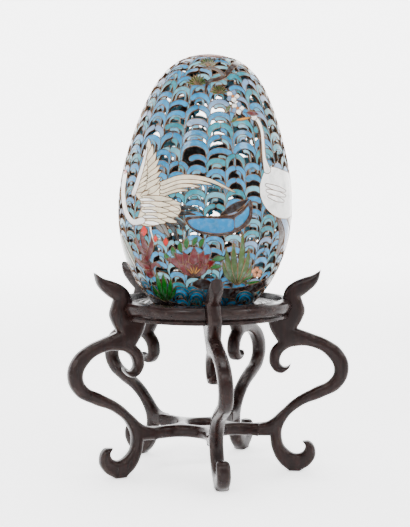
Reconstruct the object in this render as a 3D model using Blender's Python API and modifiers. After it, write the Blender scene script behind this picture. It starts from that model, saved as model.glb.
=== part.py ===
"""Openwork enamelled egg resting in a carved dark wood stand with five scrolled legs.

The stand's axis is vertical and one leg faces the front (-Y). Sizes are in millimetres and become
metres when a mesh or curve is made. The origin is on the floor, under the middle of the whole piece.
"""

import math

import bmesh
import bpy
from mathutils import Matrix, Vector

MM = 0.001

# Gap kept between pieces that touch, and the wider one that the faceted egg keeps to its seat.
FIT_GAP = 0.3
SEAT_GAP = 0.5

# Heights of the stand, above the floor.
PLATE_BASE = 91.0
PLATE_THICKNESS = 10.5
STRETCHER_HEIGHT = 24.0
BELLY_HEIGHT = 62.0

# Radii from the stand's axis.
PLATE_RADIUS = 52.3
BELLY_RADIUS = 85.0
FOOT_RADIUS = 54.5
JOINT_RADIUS = 33.0

# Legs, each sawn from a board and rounded along its edges.
LEG_NAMES = ("leg_front", "leg_front_right", "leg_back_right", "leg_back_left", "leg_front_left")
LEG_THICKNESS = 8.0
LEG_EDGE = 1.7
SLOT_DEPTH = 5.9

# Sideways run for each unit of height, about the stretcher: the front leg was set a little out of true.
LEG_LEANS = {"leg_front": 0.045}

# Plate: a turned disc with a moulded edge, a sunk floor and a hole that the egg sits in.
PLATE_STEPS = 36
RIM_WIDTH = 4.2
RIM_DEPTH = 3.2
RIM_EASING = 0.5
EDGE_BEAD_DEPTH = 2.6
EDGE_BEAD_STEP = 0.5
EDGE_BEAD_SIDES = 4
BASE_BAND_HEIGHT = 2.2
BASE_BAND_SET_BACK = 1.9
FLOOR_GROOVES = 2
GROOVE_WIDTH = 2.4
GROOVE_DEPTH = 0.7
SEAT_STEPS = 2

# Stretcher: a star that joins the legs, open in the middle.
ARM_WIDTH = 7.4
ARM_HEIGHT = 7.4
ARM_ROOT_RADIUS = 19.5
VALLEY_RADIUS = 15.5
STRETCHER_HOLE_RADIUS = 9.0
STRETCHER_EDGE = 1.5

# Sawn outlines are sampled finely, then thinned to a corner wherever they have turned this far.
CURVE_STEPS = 6
FACET_TURN_DEG = 12.0

# Egg: its widest ring, its two ends, and how its upper half departs from an ellipse.
EGG_RADIUS = 49.8
EGG_LOWER_LENGTH = 66.0
EGG_UPPER_LENGTH = 88.3
EGG_SHOULDER_FACTOR = -0.22
EGG_CROWN_FACTOR = 0.40
EGG_WALL = 1.6
EGG_SINK = 5.0
EGG_TILT_DEG = 2.4

# Openwork: rows of crescent piercings set like fish scales, left closed where a picture is enamelled.
SCALE_COLUMNS = 14
SCALE_ROWS = 10
CAP_RADIUS = 10.0
PROFILE_SAMPLES = 400

# Corners of one scale and of its crescent, as shares of a column's width and of a row's height.
SCALE_CORNERS = ((0.0, -2 / 3), (0.5, -1 / 3), (0.5, 1 / 3), (0.0, 2 / 3), (-0.5, 1 / 3), (-0.5, -1 / 3))
CRESCENT = ((0.0, -0.08), (0.37, -0.27), (0.3, 0.08), (0.0, 0.29), (-0.3, 0.08), (-0.37, -0.27))

# Enamelled pictures: azimuth from the front and height share up the egg, then their half sizes.
PICTURES = {
    "crane_wings": (-26.0, 0.50, 20.0, 0.09),
    "crane_tail": (12.0, 0.42, 18.0, 0.05),
    "lotus": (-4.0, 0.22, 16.0, 0.06),
    "second_crane": (66.0, 0.46, 14.0, 0.09),
    "pine": (8.0, 0.86, 16.0, 0.05),
}
PICTURES_REPEAT_EVERY_DEG = 180.0

# Colour, roughness and metallic value of the two finishes.
ROSEWOOD = ((0.045, 0.026, 0.022, 1.0), 0.32, 0.0)
ENAMEL = ((0.16, 0.47, 0.62, 1.0), 0.22, 0.0)


def clear_scene():
    for old in list(bpy.data.objects):
        bpy.data.objects.remove(old, do_unlink=True)


def new_collection(name):
    collection = bpy.data.collections.new(name)
    bpy.context.scene.collection.children.link(collection)
    return collection


def new_material(name, colour, roughness, metallic):
    material = bpy.data.materials.new(name)
    material.use_nodes = True
    shader = material.node_tree.nodes["Principled BSDF"]
    shader.inputs["Base Color"].default_value = colour
    shader.inputs["Roughness"].default_value = roughness
    shader.inputs["Metallic"].default_value = metallic
    return material


def place(obj, collection, material, parent):
    collection.objects.link(obj)
    obj.parent = parent
    if material is not None:
        obj.data.materials.append(material)
    return obj


def plate_top():
    return PLATE_BASE + PLATE_THICKNESS


def plate_floor():
    return plate_top() - RIM_DEPTH


def slot_radius():
    """Where the plate's slots end, towards the axis."""
    return PLATE_RADIUS - SLOT_DEPTH


def egg_base():
    return PLATE_BASE - EGG_SINK


def egg_waist():
    return egg_base() + EGG_LOWER_LENGTH


def egg_radius_at(height):
    """Radius of the egg's skin at a height above the floor."""
    if height < egg_waist():
        share = (egg_waist() - height) / EGG_LOWER_LENGTH
        return EGG_RADIUS * math.sqrt(max(0.0, 1 - share**2))
    share = (height - egg_waist()) / EGG_UPPER_LENGTH
    fullness = 1 + EGG_SHOULDER_FACTOR * share**2 + EGG_CROWN_FACTOR * share**4
    return EGG_RADIUS * math.sqrt(max(0.0, 1 - share**2)) * fullness


def egg_profile():
    """(radius, height) pairs from the bottom of the egg to its top, evenly spread along the curve."""
    low, high = egg_base(), egg_waist() + EGG_UPPER_LENGTH
    middle, half = (low + high) / 2, (high - low) / 2
    raw = []
    for i in range(PROFILE_SAMPLES + 1):
        height = middle - half * math.cos(math.pi * i / PROFILE_SAMPLES)
        raw.append((egg_radius_at(height), height))
    return raw


class Meridian:
    """The egg's outline, read by the distance along it from the bottom."""

    def __init__(self):
        self.points = egg_profile()
        self.lengths = [0.0]
        for a, b in zip(self.points, self.points[1:]):
            self.lengths.append(self.lengths[-1] + math.dist(a, b))

    def at(self, length):
        length = min(max(length, 0.0), self.lengths[-1])
        low = max(i for i, total in enumerate(self.lengths) if total <= length)
        high = min(low + 1, len(self.points) - 1)
        span = self.lengths[high] - self.lengths[low]
        share = (length - self.lengths[low]) / span if span else 0.0
        a, b = self.points[low], self.points[high]
        return a[0] + (b[0] - a[0]) * share, a[1] + (b[1] - a[1]) * share

    def length_where_radius(self, radius, from_top):
        """Distance from the bottom at which the skin, near one end, first reaches this radius."""
        order = range(len(self.points) - 1, -1, -1) if from_top else range(len(self.points))
        return next(self.lengths[i] for i in order if self.points[i][0] >= radius)


def egg_tilt():
    """The egg leans a little in its seat, turning about the point its seat's normals meet at."""
    rim = (PLATE_BASE + plate_floor()) / 2
    flare = EGG_RADIUS**2 * (egg_waist() - rim) / EGG_LOWER_LENGTH**2
    pivot = Vector((0, 0, rim + flare)) * MM
    turn = Matrix.Rotation(math.radians(EGG_TILT_DEG), 4, "Y")
    return Matrix.Translation(pivot) @ turn @ Matrix.Translation(-pivot)


def in_picture(azimuth_deg, share):
    for centre, height, half_width, half_height in PICTURES.values():
        period = PICTURES_REPEAT_EVERY_DEG
        offset = (azimuth_deg - centre + period / 2) % period - period / 2
        if (offset / half_width) ** 2 + ((share - height) / half_height) ** 2 < 1:
            return True
    return False


class Openwork:
    """The egg's skin as a honeycomb of scales between two plain caps."""

    def __init__(self):
        self.meridian = Meridian()
        self.low = self.meridian.length_where_radius(CAP_RADIUS, from_top=False)
        self.high = self.meridian.length_where_radius(CAP_RADIUS, from_top=True)
        self.row = (self.high - self.low) / SCALE_ROWS
        self.column = 2 * math.pi / SCALE_COLUMNS
        self.bm = bmesh.new()
        self.known = {}

    def new_vertex(self, turns, radius, height):
        angle = turns * self.column
        return self.bm.verts.new((radius * math.sin(angle) * MM, -radius * math.cos(angle) * MM, height * MM))

    def point(self, turns, length):
        """The vertex so many columns round from the front and a distance along the meridian."""
        length = min(max(length, self.low), self.high)
        key = (round(turns % SCALE_COLUMNS, 3) % SCALE_COLUMNS, round(length, 3))
        if key not in self.known:
            self.known[key] = self.new_vertex(turns, *self.meridian.at(length))
        return self.known[key]

    def add_face(self, corners):
        distinct = list(dict.fromkeys(corners))
        if len(distinct) > 2:
            self.bm.faces.new(distinct)

    def add_scale(self, turns, middle, whole):
        """One scale, with its crescent cut through unless it is cut short or belongs to a picture."""
        corners = [self.point(turns + u, middle + v * self.row) for u, v in SCALE_CORNERS]
        if not whole:
            self.add_face(corners)
            return
        share = (middle - self.low) / (self.high - self.low)
        if in_picture(math.degrees(turns * self.column), share):
            heart = [self.point(turns, middle)] * len(corners)
        else:
            heart = [self.point(turns + u, middle + v * self.row) for u, v in CRESCENT]
        for i in range(len(corners)):
            n = (i + 1) % len(corners)
            self.add_face((corners[i], corners[n], heart[n], heart[i]))

    def add_cap(self, edge_length, from_top):
        """Closes one end of the egg inside its last row of scales."""
        count = 2 * SCALE_COLUMNS
        edge = [self.point(k / 2, edge_length) for k in range(count)]
        radius, height = self.meridian.at(self.meridian.length_where_radius(CAP_RADIUS / 2, from_top))
        inner = [self.new_vertex(k / 2, radius, height) for k in range(count)]
        pole = self.new_vertex(0, 0.0, self.meridian.points[-1 if from_top else 0][1])
        for k in range(count):
            n = (k + 1) % count
            self.bm.faces.new((edge[k], edge[n], inner[n], inner[k]))
            self.bm.faces.new((inner[k], inner[n], pole))

    def mesh(self):
        for j in range(-1, SCALE_ROWS + 1):
            middle = self.low + (j + 0.5) * self.row
            for k in range(SCALE_COLUMNS):
                self.add_scale(k + 0.5 * (j % 2), middle, whole=0 < j < SCALE_ROWS - 1)
        self.add_cap(self.low, from_top=False)
        self.add_cap(self.high, from_top=True)
        bmesh.ops.remove_doubles(self.bm, verts=self.bm.verts, dist=1e-6)
        bmesh.ops.recalc_face_normals(self.bm, faces=self.bm.faces)
        self.bm.transform(egg_tilt())
        mesh = bpy.data.meshes.new("openwork_egg")
        self.bm.to_mesh(mesh)
        self.bm.free()
        return mesh


def build_egg(collection, material, parent):
    """The openwork skin, given its wall inwards by Solidify."""
    egg = place(bpy.data.objects.new("openwork_egg", Openwork().mesh()), collection, material, parent)
    wall = egg.modifiers.new("wall", "SOLIDIFY")
    wall.thickness = EGG_WALL * MM
    wall.offset = -1
    wall.use_even_offset = False


def plate_profile():
    """(radius, height) pairs of the plate's section: over its rim, down its edge, under it and up the seat."""
    bead_back = PLATE_RADIUS - EDGE_BEAD_DEPTH
    rim_inner = bead_back - RIM_WIDTH
    band_top = PLATE_BASE + BASE_BAND_HEIGHT
    bead_rise = plate_top() - band_top - 2 * EDGE_BEAD_STEP
    profile = [
        (rim_inner, plate_floor()),
        (rim_inner + RIM_EASING, plate_top()),
        (bead_back - RIM_EASING, plate_top()),
    ]
    for i in range(EDGE_BEAD_SIDES + 1):
        turn = math.pi * (0.5 - i / EDGE_BEAD_SIDES)
        height = band_top + EDGE_BEAD_STEP + bead_rise / 2 * (1 + math.sin(turn))
        profile.append((bead_back + EDGE_BEAD_DEPTH * math.cos(turn), height))
    profile += [
        (PLATE_RADIUS - BASE_BAND_SET_BACK, band_top),
        (PLATE_RADIUS - BASE_BAND_SET_BACK, PLATE_BASE),
    ]
    for i in range(SEAT_STEPS + 1):
        height = PLATE_BASE + (plate_floor() - PLATE_BASE) * i / SEAT_STEPS
        profile.append((egg_radius_at(height) + SEAT_GAP, height))
    seat_edge = profile[-1][0]
    spacing = (rim_inner - seat_edge) / (FLOOR_GROOVES + 1)
    half = min(GROOVE_WIDTH, spacing / 2) / 2
    for i in range(1, FLOOR_GROOVES + 1):
        radius = seat_edge + i * spacing
        profile += [
            (radius - half, plate_floor()),
            (radius, plate_floor() - GROOVE_DEPTH),
            (radius + half, plate_floor()),
        ]
    return profile


def build_plate(collection, cutters, material, parent):
    profile = plate_profile()
    mesh = bpy.data.meshes.new("stand_plate")
    ends = [(i, (i + 1) % len(profile)) for i in range(len(profile))]
    mesh.from_pydata([(r * MM, 0, z * MM) for r, z in profile], ends, [])
    plate = place(bpy.data.objects.new("stand_plate", mesh), collection, material, parent)
    turned = plate.modifiers.new("turned", "SCREW")
    turned.angle = 2 * math.pi
    turned.steps = turned.render_steps = PLATE_STEPS
    turned.use_merge_vertices = True
    turned.merge_threshold = 1e-6
    for k, name in enumerate(LEG_NAMES):
        add_slot(plate, name, k, cutters, parent)


def add_slot(plate, name, k, cutters, parent):
    """Cuts the edge of the plate away where a leg's neck passes it."""
    depth = 2 * SLOT_DEPTH
    bpy.ops.mesh.primitive_cube_add(size=1)
    cutter = bpy.context.object
    cutter.name = f"slot_for_{name}"
    for holder in list(cutter.users_collection):
        holder.objects.unlink(cutter)
    width = LEG_THICKNESS + 2 * FIT_GAP
    size = Matrix.Diagonal((depth * MM, width * MM, 3 * PLATE_THICKNESS * MM, 1))
    middle = Vector((slot_radius() - FIT_GAP + depth / 2, 0, PLATE_BASE + PLATE_THICKNESS / 2)) * MM
    cutter.data.transform(leg_turn(k) @ leg_lean(name) @ Matrix.Translation(middle) @ size)
    place(cutter, cutters, None, parent)
    cutter.hide_render = True
    cutter.display_type = "WIRE"
    cut = plate.modifiers.new(cutter.name, "BOOLEAN")
    cut.object = cutter
    cut.operation = "DIFFERENCE"
    cut.solver = "EXACT"


def leg_turn(k):
    """Turns the +X direction to the k-th leg, the first at the front."""
    return Matrix.Rotation(2 * math.pi * k / len(LEG_NAMES) - math.pi / 2, 4, "Z")


def leg_lean(name):
    """Shears a leg that points along +X sideways about the stretcher, so that its foot stays level."""
    run = LEG_LEANS.get(name, 0.0)
    lean = Matrix.Identity(4)
    lean[1][2] = -run
    lean[1][3] = run * STRETCHER_HEIGHT * MM
    return lean


def leg_outline():
    """The leg's outline as (radius, height, corner) in order, each stretch set out from the part it serves."""
    joint_half = ARM_HEIGHT / 2
    inner = slot_radius()
    shelf = PLATE_BASE - FIT_GAP

    def stretch(radius, height, points):
        return [(radius + p[0], height + p[1], len(p) > 2) for p in points]

    leaf_tip = stretch(PLATE_RADIUS, plate_top(), [(16.1, 17.0, "tip")])
    leaf_front = stretch(PLATE_RADIUS, plate_top(), [(11.2, 13.9), (5.2, 11.9), (-0.8, 9.0), (-4.3, 5.6)])
    neck_back = [(inner, plate_top() + 0.6, True), (inner, shelf, True)]
    body = [
        (inner - 8.8, shelf, True),
        (inner - 7.4, shelf - 6.2, False),
        (inner - 2.7, shelf - 14.4, True),
    ]
    hook = stretch(
        inner,
        shelf,
        [(-6.4, -18.7), (-7.6, -23.6), (-6.8, -28.4), (-1.3, -32.9), (3.9, -30.2), (5.3, -26.9, "tip")]
        + [(2.4, -28.9), (-0.6, -27.9), (-0.9, -23.4), (2.6, -18.8), (7.6, -17.0)],
    )
    bend_inner = stretch(BELLY_RADIUS, BELLY_HEIGHT, [(-21.1, 11.4), (-12.2, 6.2), (-8.5, -1.8)])
    shin_inner = stretch(BELLY_RADIUS, BELLY_HEIGHT, [(-11.6, -7.8), (-19.1, -11.8)])
    shin_inner += stretch(JOINT_RADIUS, STRETCHER_HEIGHT, [(20.0, 18.4), (13.3, 12.1)])
    stub = [
        (JOINT_RADIUS + 5.4, STRETCHER_HEIGHT + joint_half + 1.6, False),
        (JOINT_RADIUS, STRETCHER_HEIGHT + joint_half, True),
        (JOINT_RADIUS, STRETCHER_HEIGHT - joint_half, True),
        (JOINT_RADIUS + 6.6, STRETCHER_HEIGHT - joint_half + 0.2, True),
    ]
    heel = stretch(FOOT_RADIUS, 0, [(-13.5, 12.6), (-9.1, 4.6), (-3.4, 0.0, "flat"), (3.0, 0.0, "flat")])
    toe = stretch(FOOT_RADIUS, 0, [(9.4, 4.7), (12.0, 11.2), (8.8, 17.7), (4.2, 18.0, "tip")])
    sole_inner = stretch(FOOT_RADIUS, 0, [(5.8, 14.4), (2.0, 10.5), (-4.6, 12.8), (-7.9, 19.8)])
    calf = stretch(FOOT_RADIUS, STRETCHER_HEIGHT, [(-5.8, 5.4), (3.2, 14.6)])
    calf += stretch(BELLY_RADIUS, BELLY_HEIGHT, [(-14.5, -17.6), (-4.3, -11.4)])
    belly = stretch(BELLY_RADIUS, BELLY_HEIGHT, [(0.0, -0.6), (-3.4, 9.1), (-11.8, 15.6), (-22.0, 19.6)])
    notch = stretch(PLATE_RADIUS, PLATE_BASE, [(2.6, -6.6, "notch")])
    neck = stretch(PLATE_RADIUS, PLATE_BASE, [(5.6, -1.2), (7.0, 3.6), (5.6, 9.0), (4.7, 11.6, "crease")])
    leaf_back = stretch(PLATE_RADIUS, plate_top(), [(8.9, 4.2), (14.0, 9.6)])
    return (
        leaf_tip + leaf_front + neck_back + body + hook + bend_inner + shin_inner + stub + heel + toe
        + sole_inner + calf + belly + notch + neck + leaf_back
    )


def filled_curve(name, outlines):
    """A flat filled curve through each closed outline of (x, y, corner), smooth except at its corners."""
    curve = bpy.data.curves.new(name, "CURVE")
    curve.dimensions = "2D"
    curve.fill_mode = "BOTH"
    curve.resolution_u = CURVE_STEPS
    for outline in outlines:
        spline = curve.splines.new("BEZIER")
        spline.bezier_points.add(len(outline) - 1)
        spline.use_cyclic_u = True
        for knot, (x, y, corner) in zip(spline.bezier_points, outline):
            knot.co = (x * MM, y * MM, 0)
            kind = "VECTOR" if corner else "AUTO"
            knot.handle_left_type = knot.handle_right_type = kind
    return curve


def thin_outline(bm, outlines):
    """Drops points along the smooth stretches of a flat outline and keeps its corners."""
    corners = [Vector((x * MM, y * MM, 0)) for outline in outlines for x, y, corner in outline if corner]
    spare = [v for v in bm.verts if all((v.co - c).length > 1e-5 for c in corners)]
    bmesh.ops.dissolve_limit(bm, angle_limit=math.radians(FACET_TURN_DEG), verts=spare, edges=bm.edges)


def sawn_board(name, outlines, thickness, edge):
    """A board sawn to the outlines, with its long edges eased."""
    guide = bpy.data.objects.new(name + "_guide", filled_curve(name, outlines))
    bpy.context.scene.collection.objects.link(guide)
    graph = bpy.context.evaluated_depsgraph_get()
    mesh = bpy.data.meshes.new_from_object(guide.evaluated_get(graph))
    bpy.data.objects.remove(guide)
    mesh.name = name
    bm = bmesh.new()
    bm.from_mesh(mesh)
    bmesh.ops.remove_doubles(bm, verts=bm.verts, dist=1e-6)
    thin_outline(bm, outlines)
    bmesh.ops.translate(bm, verts=bm.verts, vec=(0, 0, -thickness / 2 * MM))
    grown = bmesh.ops.extrude_face_region(bm, geom=bm.faces[:])["geom"]
    upper = [item for item in grown if isinstance(item, bmesh.types.BMVert)]
    bmesh.ops.translate(bm, verts=upper, vec=(0, 0, thickness * MM))
    bmesh.ops.recalc_face_normals(bm, faces=bm.faces)
    weight = bm.edges.layers.float.new("bevel_weight_edge")
    for side in bm.edges:
        side[weight] = float(abs(side.verts[0].co.z - side.verts[1].co.z) < thickness / 2 * MM)
    bm.to_mesh(mesh)
    bm.free()
    obj = bpy.data.objects.new(name, mesh)
    eased = obj.modifiers.new("eased_edges", "BEVEL")
    eased.width = edge * MM
    eased.segments = 1
    eased.limit_method = "WEIGHT"
    eased.use_clamp_overlap = True
    return obj


def build_legs(collection, material, parent):
    upright = Matrix.Rotation(math.pi / 2, 4, "X")
    for k, name in enumerate(LEG_NAMES):
        board = sawn_board(name, [leg_outline()], LEG_THICKNESS, LEG_EDGE)
        board.data.transform(leg_lean(name) @ upright)
        leg = place(board, collection, material, parent)
        leg.matrix_basis = leg_turn(k)


def stretcher_outlines():
    """The star's outer outline and its middle opening, as (x, y, corner)."""
    count = len(LEG_NAMES)
    outer, hole = [], []
    reach = JOINT_RADIUS - FIT_GAP
    for k in range(count):
        turn = leg_turn(k)
        half = math.pi / count
        arm = [(ARM_ROOT_RADIUS, -1, False), (reach, -1, True), (reach, 1, True), (ARM_ROOT_RADIUS, 1, False)]
        for radius, side, corner in arm:
            spot = turn @ Vector((radius, side * ARM_WIDTH / 2, 0))
            outer.append((spot.x, spot.y, corner))
        valley = turn @ Vector((VALLEY_RADIUS * math.cos(half), VALLEY_RADIUS * math.sin(half), 0))
        outer.append((valley.x, valley.y, False))
        for side in (0, 1):
            spot = turn @ Matrix.Rotation(side * half, 4, "Z") @ Vector((STRETCHER_HOLE_RADIUS, 0, 0))
            hole.append((spot.x, spot.y, False))
    return [outer, hole]


def build_stretcher(collection, material, parent):
    board = sawn_board("stretcher", stretcher_outlines(), ARM_HEIGHT, STRETCHER_EDGE)
    stretcher = place(board, collection, material, parent)
    stretcher.location = (0, 0, STRETCHER_HEIGHT * MM)


def centre_on_floor(root, collection):
    """Moves everything so that the middle of its bounding box is over the origin."""
    bpy.context.view_layer.update()
    graph = bpy.context.evaluated_depsgraph_get()
    corners = []
    for obj in collection.objects:
        if obj.type == "MESH":
            shown = obj.evaluated_get(graph)
            corners += [shown.matrix_world @ v.co for v in shown.data.vertices]
    for axis in (0, 1):
        values = [c[axis] for c in corners]
        root.location[axis] = -(min(values) + max(values)) / 2


def main():
    clear_scene()
    collection = new_collection("egg_on_stand")
    cutters = new_collection("cutters")
    wood = new_material("dark_rosewood", *ROSEWOOD)
    enamel = new_material("turquoise_enamel", *ENAMEL)
    root = bpy.data.objects.new("stand_axis", None)
    collection.objects.link(root)
    build_plate(collection, cutters, wood, root)
    build_legs(collection, wood, root)
    build_stretcher(collection, wood, root)
    build_egg(collection, enamel, root)
    centre_on_floor(root, collection)


main()
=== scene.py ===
"""Openwork enamelled egg on a carved wooden stand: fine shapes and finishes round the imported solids.

Lengths in the classes are millimetres and become metres when a mesh is made. The stand's axis is
vertical, one leg faces the front (-Y), and heights are measured from the floor.
"""

import logging
import math
import random
from dataclasses import dataclass, replace
from enum import Enum

import bmesh
import bpy
import numpy as np
from mathutils import Matrix, Vector
from mathutils.geometry import delaunay_2d_cdt


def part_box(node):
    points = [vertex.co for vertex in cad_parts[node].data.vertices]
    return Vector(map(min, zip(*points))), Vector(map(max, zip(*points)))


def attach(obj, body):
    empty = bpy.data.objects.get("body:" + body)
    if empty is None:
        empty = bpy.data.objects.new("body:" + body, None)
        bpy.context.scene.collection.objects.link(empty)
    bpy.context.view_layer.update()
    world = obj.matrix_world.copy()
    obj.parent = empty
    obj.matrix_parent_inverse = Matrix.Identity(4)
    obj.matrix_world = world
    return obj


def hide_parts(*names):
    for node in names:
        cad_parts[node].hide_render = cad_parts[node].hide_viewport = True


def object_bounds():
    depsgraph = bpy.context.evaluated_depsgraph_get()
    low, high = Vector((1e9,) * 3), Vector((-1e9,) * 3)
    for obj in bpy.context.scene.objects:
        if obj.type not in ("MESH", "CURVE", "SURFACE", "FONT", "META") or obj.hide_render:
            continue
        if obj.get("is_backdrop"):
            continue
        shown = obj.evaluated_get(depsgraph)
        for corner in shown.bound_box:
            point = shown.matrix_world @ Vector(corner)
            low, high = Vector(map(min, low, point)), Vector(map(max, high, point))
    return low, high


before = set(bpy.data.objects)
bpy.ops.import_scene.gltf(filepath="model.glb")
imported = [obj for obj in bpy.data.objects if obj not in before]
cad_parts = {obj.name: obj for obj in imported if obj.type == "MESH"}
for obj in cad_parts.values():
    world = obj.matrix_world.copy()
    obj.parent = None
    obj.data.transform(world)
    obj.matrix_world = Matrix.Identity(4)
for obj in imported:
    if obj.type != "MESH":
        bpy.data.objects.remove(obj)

MM = 0.001
SHARP_DEG = 38.0
LOG = logging.getLogger("egg_on_stand")

Colour = tuple[float, float, float]
Spot = tuple[float, float]


class Signal:
    """A shader socket that takes arithmetic: each operator adds the Math node that works it out."""

    def __init__(self, bench: "Bench", socket: bpy.types.NodeSocket) -> None:
        """Wraps one output socket of a bench's material."""
        self.bench = bench
        self.socket = socket

    def _math(self, operation: str, first: object, second: object) -> "Signal":
        """The result of one Math node on two values or signals."""
        return self.bench.node("ShaderNodeMath", {"operation": operation}, {0: first, 1: second})

    def __add__(self, other: object) -> "Signal":
        """Sum."""
        return self._math("ADD", self, other)

    def __radd__(self, other: object) -> "Signal":
        """Sum with the value on the left."""
        return self._math("ADD", other, self)

    def __sub__(self, other: object) -> "Signal":
        """Difference."""
        return self._math("SUBTRACT", self, other)

    def __rsub__(self, other: object) -> "Signal":
        """Difference from the value on the left."""
        return self._math("SUBTRACT", other, self)

    def __mul__(self, other: object) -> "Signal":
        """Product."""
        return self._math("MULTIPLY", self, other)

    def __rmul__(self, other: object) -> "Signal":
        """Product with the value on the left."""
        return self._math("MULTIPLY", other, self)

    def eased(self, low: float, high: float) -> "Signal":
        """Runs from 0 to 1 as this signal goes from low to high, and stays within them."""
        return self.bench.node("ShaderNodeMapRange", {}, {0: self, 1: low, 2: high})


class Bench:
    """Where one material's nodes are put together."""

    def __init__(self, name: str, metallic: float = 0.0) -> None:
        """Starts a material.

        Args:
            name: the material's name.
            metallic: how metallic it is, the same all over.
        """
        self.material = bpy.data.materials.new(name)
        self.material.use_nodes = True
        self.tree = self.material.node_tree
        self.shader = self.tree.nodes["Principled BSDF"]
        self.shader.inputs["Metallic"].default_value = metallic

    def node(self, kind: str, settings: dict, inputs: dict, output: int = 0) -> Signal:
        """Adds a node.

        Args:
            kind: the node's type.
            settings: its settings, which are set first.
            inputs: values or signals for its sockets, by name or number.
            output: the number of the output to use.

        Returns:
            The chosen output.
        """
        made = self.tree.nodes.new(kind)
        for key, value in settings.items():
            setattr(made, key, value)
        for key, value in inputs.items():
            self.feed(made.inputs[key], value)
        return Signal(self, made.outputs[output])

    def feed(self, socket: bpy.types.NodeSocket, value: object) -> None:
        """Sets a socket to a value, or links a signal to it.

        Args:
            socket: the socket.
            value: a value or a signal.
        """
        if isinstance(value, Signal):
            self.tree.links.new(value.socket, socket)
        else:
            socket.default_value = value

    def set(self, **inputs: object) -> bpy.types.Material:
        """Feeds the shader's sockets, named with _ for spaces.

        Returns:
            The material.
        """
        for key, value in inputs.items():
            self.feed(self.shader.inputs[key.replace("_", " ")], value)
        return self.material

    def place(self) -> Signal:
        """The point in the object's own frame, in metres."""
        return self.node("ShaderNodeTexCoord", {}, {}, 3)

    def stored(self, name: str, output: int) -> Signal:
        """An attribute of the mesh: output 0 gives a colour, 1 a vector and 2 a number."""
        return self.node("ShaderNodeAttribute", {"attribute_name": name}, {}, output)

    def noise(
        self, at: Signal, per_metre: float, detail: float = 3.0, stretch: Colour = (1, 1, 1)
    ) -> Signal:
        """Smooth noise from 0 to 1.

        Args:
            at: the point it is read at.
            per_metre: how many swings it has in a metre.
            detail: how many finer layers it has.
            stretch: how far each axis is pressed together.

        Returns:
            The noise, mostly between 0.3 and 0.7.
        """
        there = self.node("ShaderNodeMapping", {}, {"Vector": at, "Scale": stretch})
        swings = {"Vector": there, "Scale": per_metre, "Detail": detail}
        return self.node("ShaderNodeTexNoise", {}, swings)

    def mix(self, share: object, first: object, second: object) -> Signal:
        """A colour between two colours."""
        ends = [v if isinstance(v, Signal) else (*v, 1.0) for v in (first, second)]
        return self.node("ShaderNodeMix", {"data_type": "RGBA"}, {0: share, 6: ends[0], 7: ends[1]}, 2)

    def bump(self, height: Signal, depth: float) -> Signal:
        """A normal bent by a height signal whose full swing is depth metres."""
        return self.node("ShaderNodeBump", {}, {"Height": height, "Distance": depth, "Strength": 1.0})


@dataclass(frozen=True)
class Rosewood:
    """Very dark oiled wood with a satin polish, fine streaks along the board, rubbed edges, and upward
    faces greyed partly by dust and partly by a painted sheen.
    """

    heart: Colour = (0.0058, 0.0027, 0.0024)
    streak: Colour = (0.0120, 0.0046, 0.0037)
    rubbed: Colour = (0.036, 0.024, 0.020)
    sheen_and_dust_tone: Colour = (0.13, 0.115, 0.11)
    polish: float = 0.17
    dulling: float = 0.20

    def material(self) -> bpy.types.Material:
        """Makes the wood, which reads each point's place on its board and how rubbed it is.

        Returns:
            The material.
        """
        bench = Bench("polished_rosewood")
        board = bench.stored("board", 1)
        streaks = bench.noise(board, 420.0, 5.0, (1.0, 0.09, 1.0)).eased(0.36, 0.68)
        pores = bench.noise(board, 2600.0, 2.0, (1.0, 0.05, 1.0)).eased(0.50, 0.72)
        patches = bench.noise(board, 130.0, 4.0).eased(0.40, 0.66)
        rubbed = bench.stored("rubbed", 2) * patches
        normal = bench.node("ShaderNodeNewGeometry", {}, {}, 1)
        # Upward faces: partly settled dust, partly a painted sheen standing for the bright room reflected
        # in the polish.
        sheen_and_dust_mask = bench.node("ShaderNodeSeparateXYZ", {}, {0: normal}, 2).eased(0.55, 1.0) * patches
        wood = bench.mix(streaks, self.heart, self.streak)
        wood = bench.mix(pores * 0.5, wood, self.heart)
        wood = bench.mix(rubbed * 0.45, wood, self.rubbed)
        # Greys the upward faces: dust and painted sheen together.
        wood = bench.mix(sheen_and_dust_mask * 0.12, wood, self.sheen_and_dust_tone)
        waves = bench.noise(board, 240.0, 2.0)
        height = waves * 0.9 + streaks * 0.12 - pores * 0.25
        return bench.set(
            Base_Color=wood,
            Roughness=self.polish + streaks * 0.05 + (rubbed + sheen_and_dust_mask) * self.dulling,
            Normal=bench.bump(height, 0.00009),
            Specular_IOR_Level=0.13,
        )


@dataclass(frozen=True)
class Paper:
    """The pale paper of the floor and the sweep, which glows a little, most of all behind the piece."""

    tone: Colour = (0.86, 0.855, 0.86)
    far_glow: float = 0.15
    floor_glow: float = 1.5
    back_glow: float = 3.3

    def material(self) -> bpy.types.Material:
        """Makes the paper.

        Returns:
            A matt, nearly white material.
        """
        bench = Bench("pale_paper")
        cloud = bench.noise(bench.place(), 2.0)
        darker = tuple(0.985 * part for part in self.tone)
        depth = bench.node("ShaderNodeSeparateXYZ", {}, {0: bench.place()}, 1)
        glow = bench.mix(depth.eased(-0.55, -0.25), (self.far_glow,) * 3, (self.floor_glow,) * 3)
        glow = bench.mix(depth.eased(0.5, 1.9), glow, (self.back_glow,) * 3)
        return bench.set(
            Base_Color=bench.mix(cloud, self.tone, darker),
            Roughness=0.9,
            Emission_Color=glow,
            Emission_Strength=1.0,
        )


def put_in_scene(name: str, data: bpy.types.ID) -> bpy.types.Object:
    """Makes an object of a mesh, curve, light or camera and links it."""
    obj = bpy.data.objects.new(name, data)
    bpy.context.scene.collection.objects.link(obj)
    return obj


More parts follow.
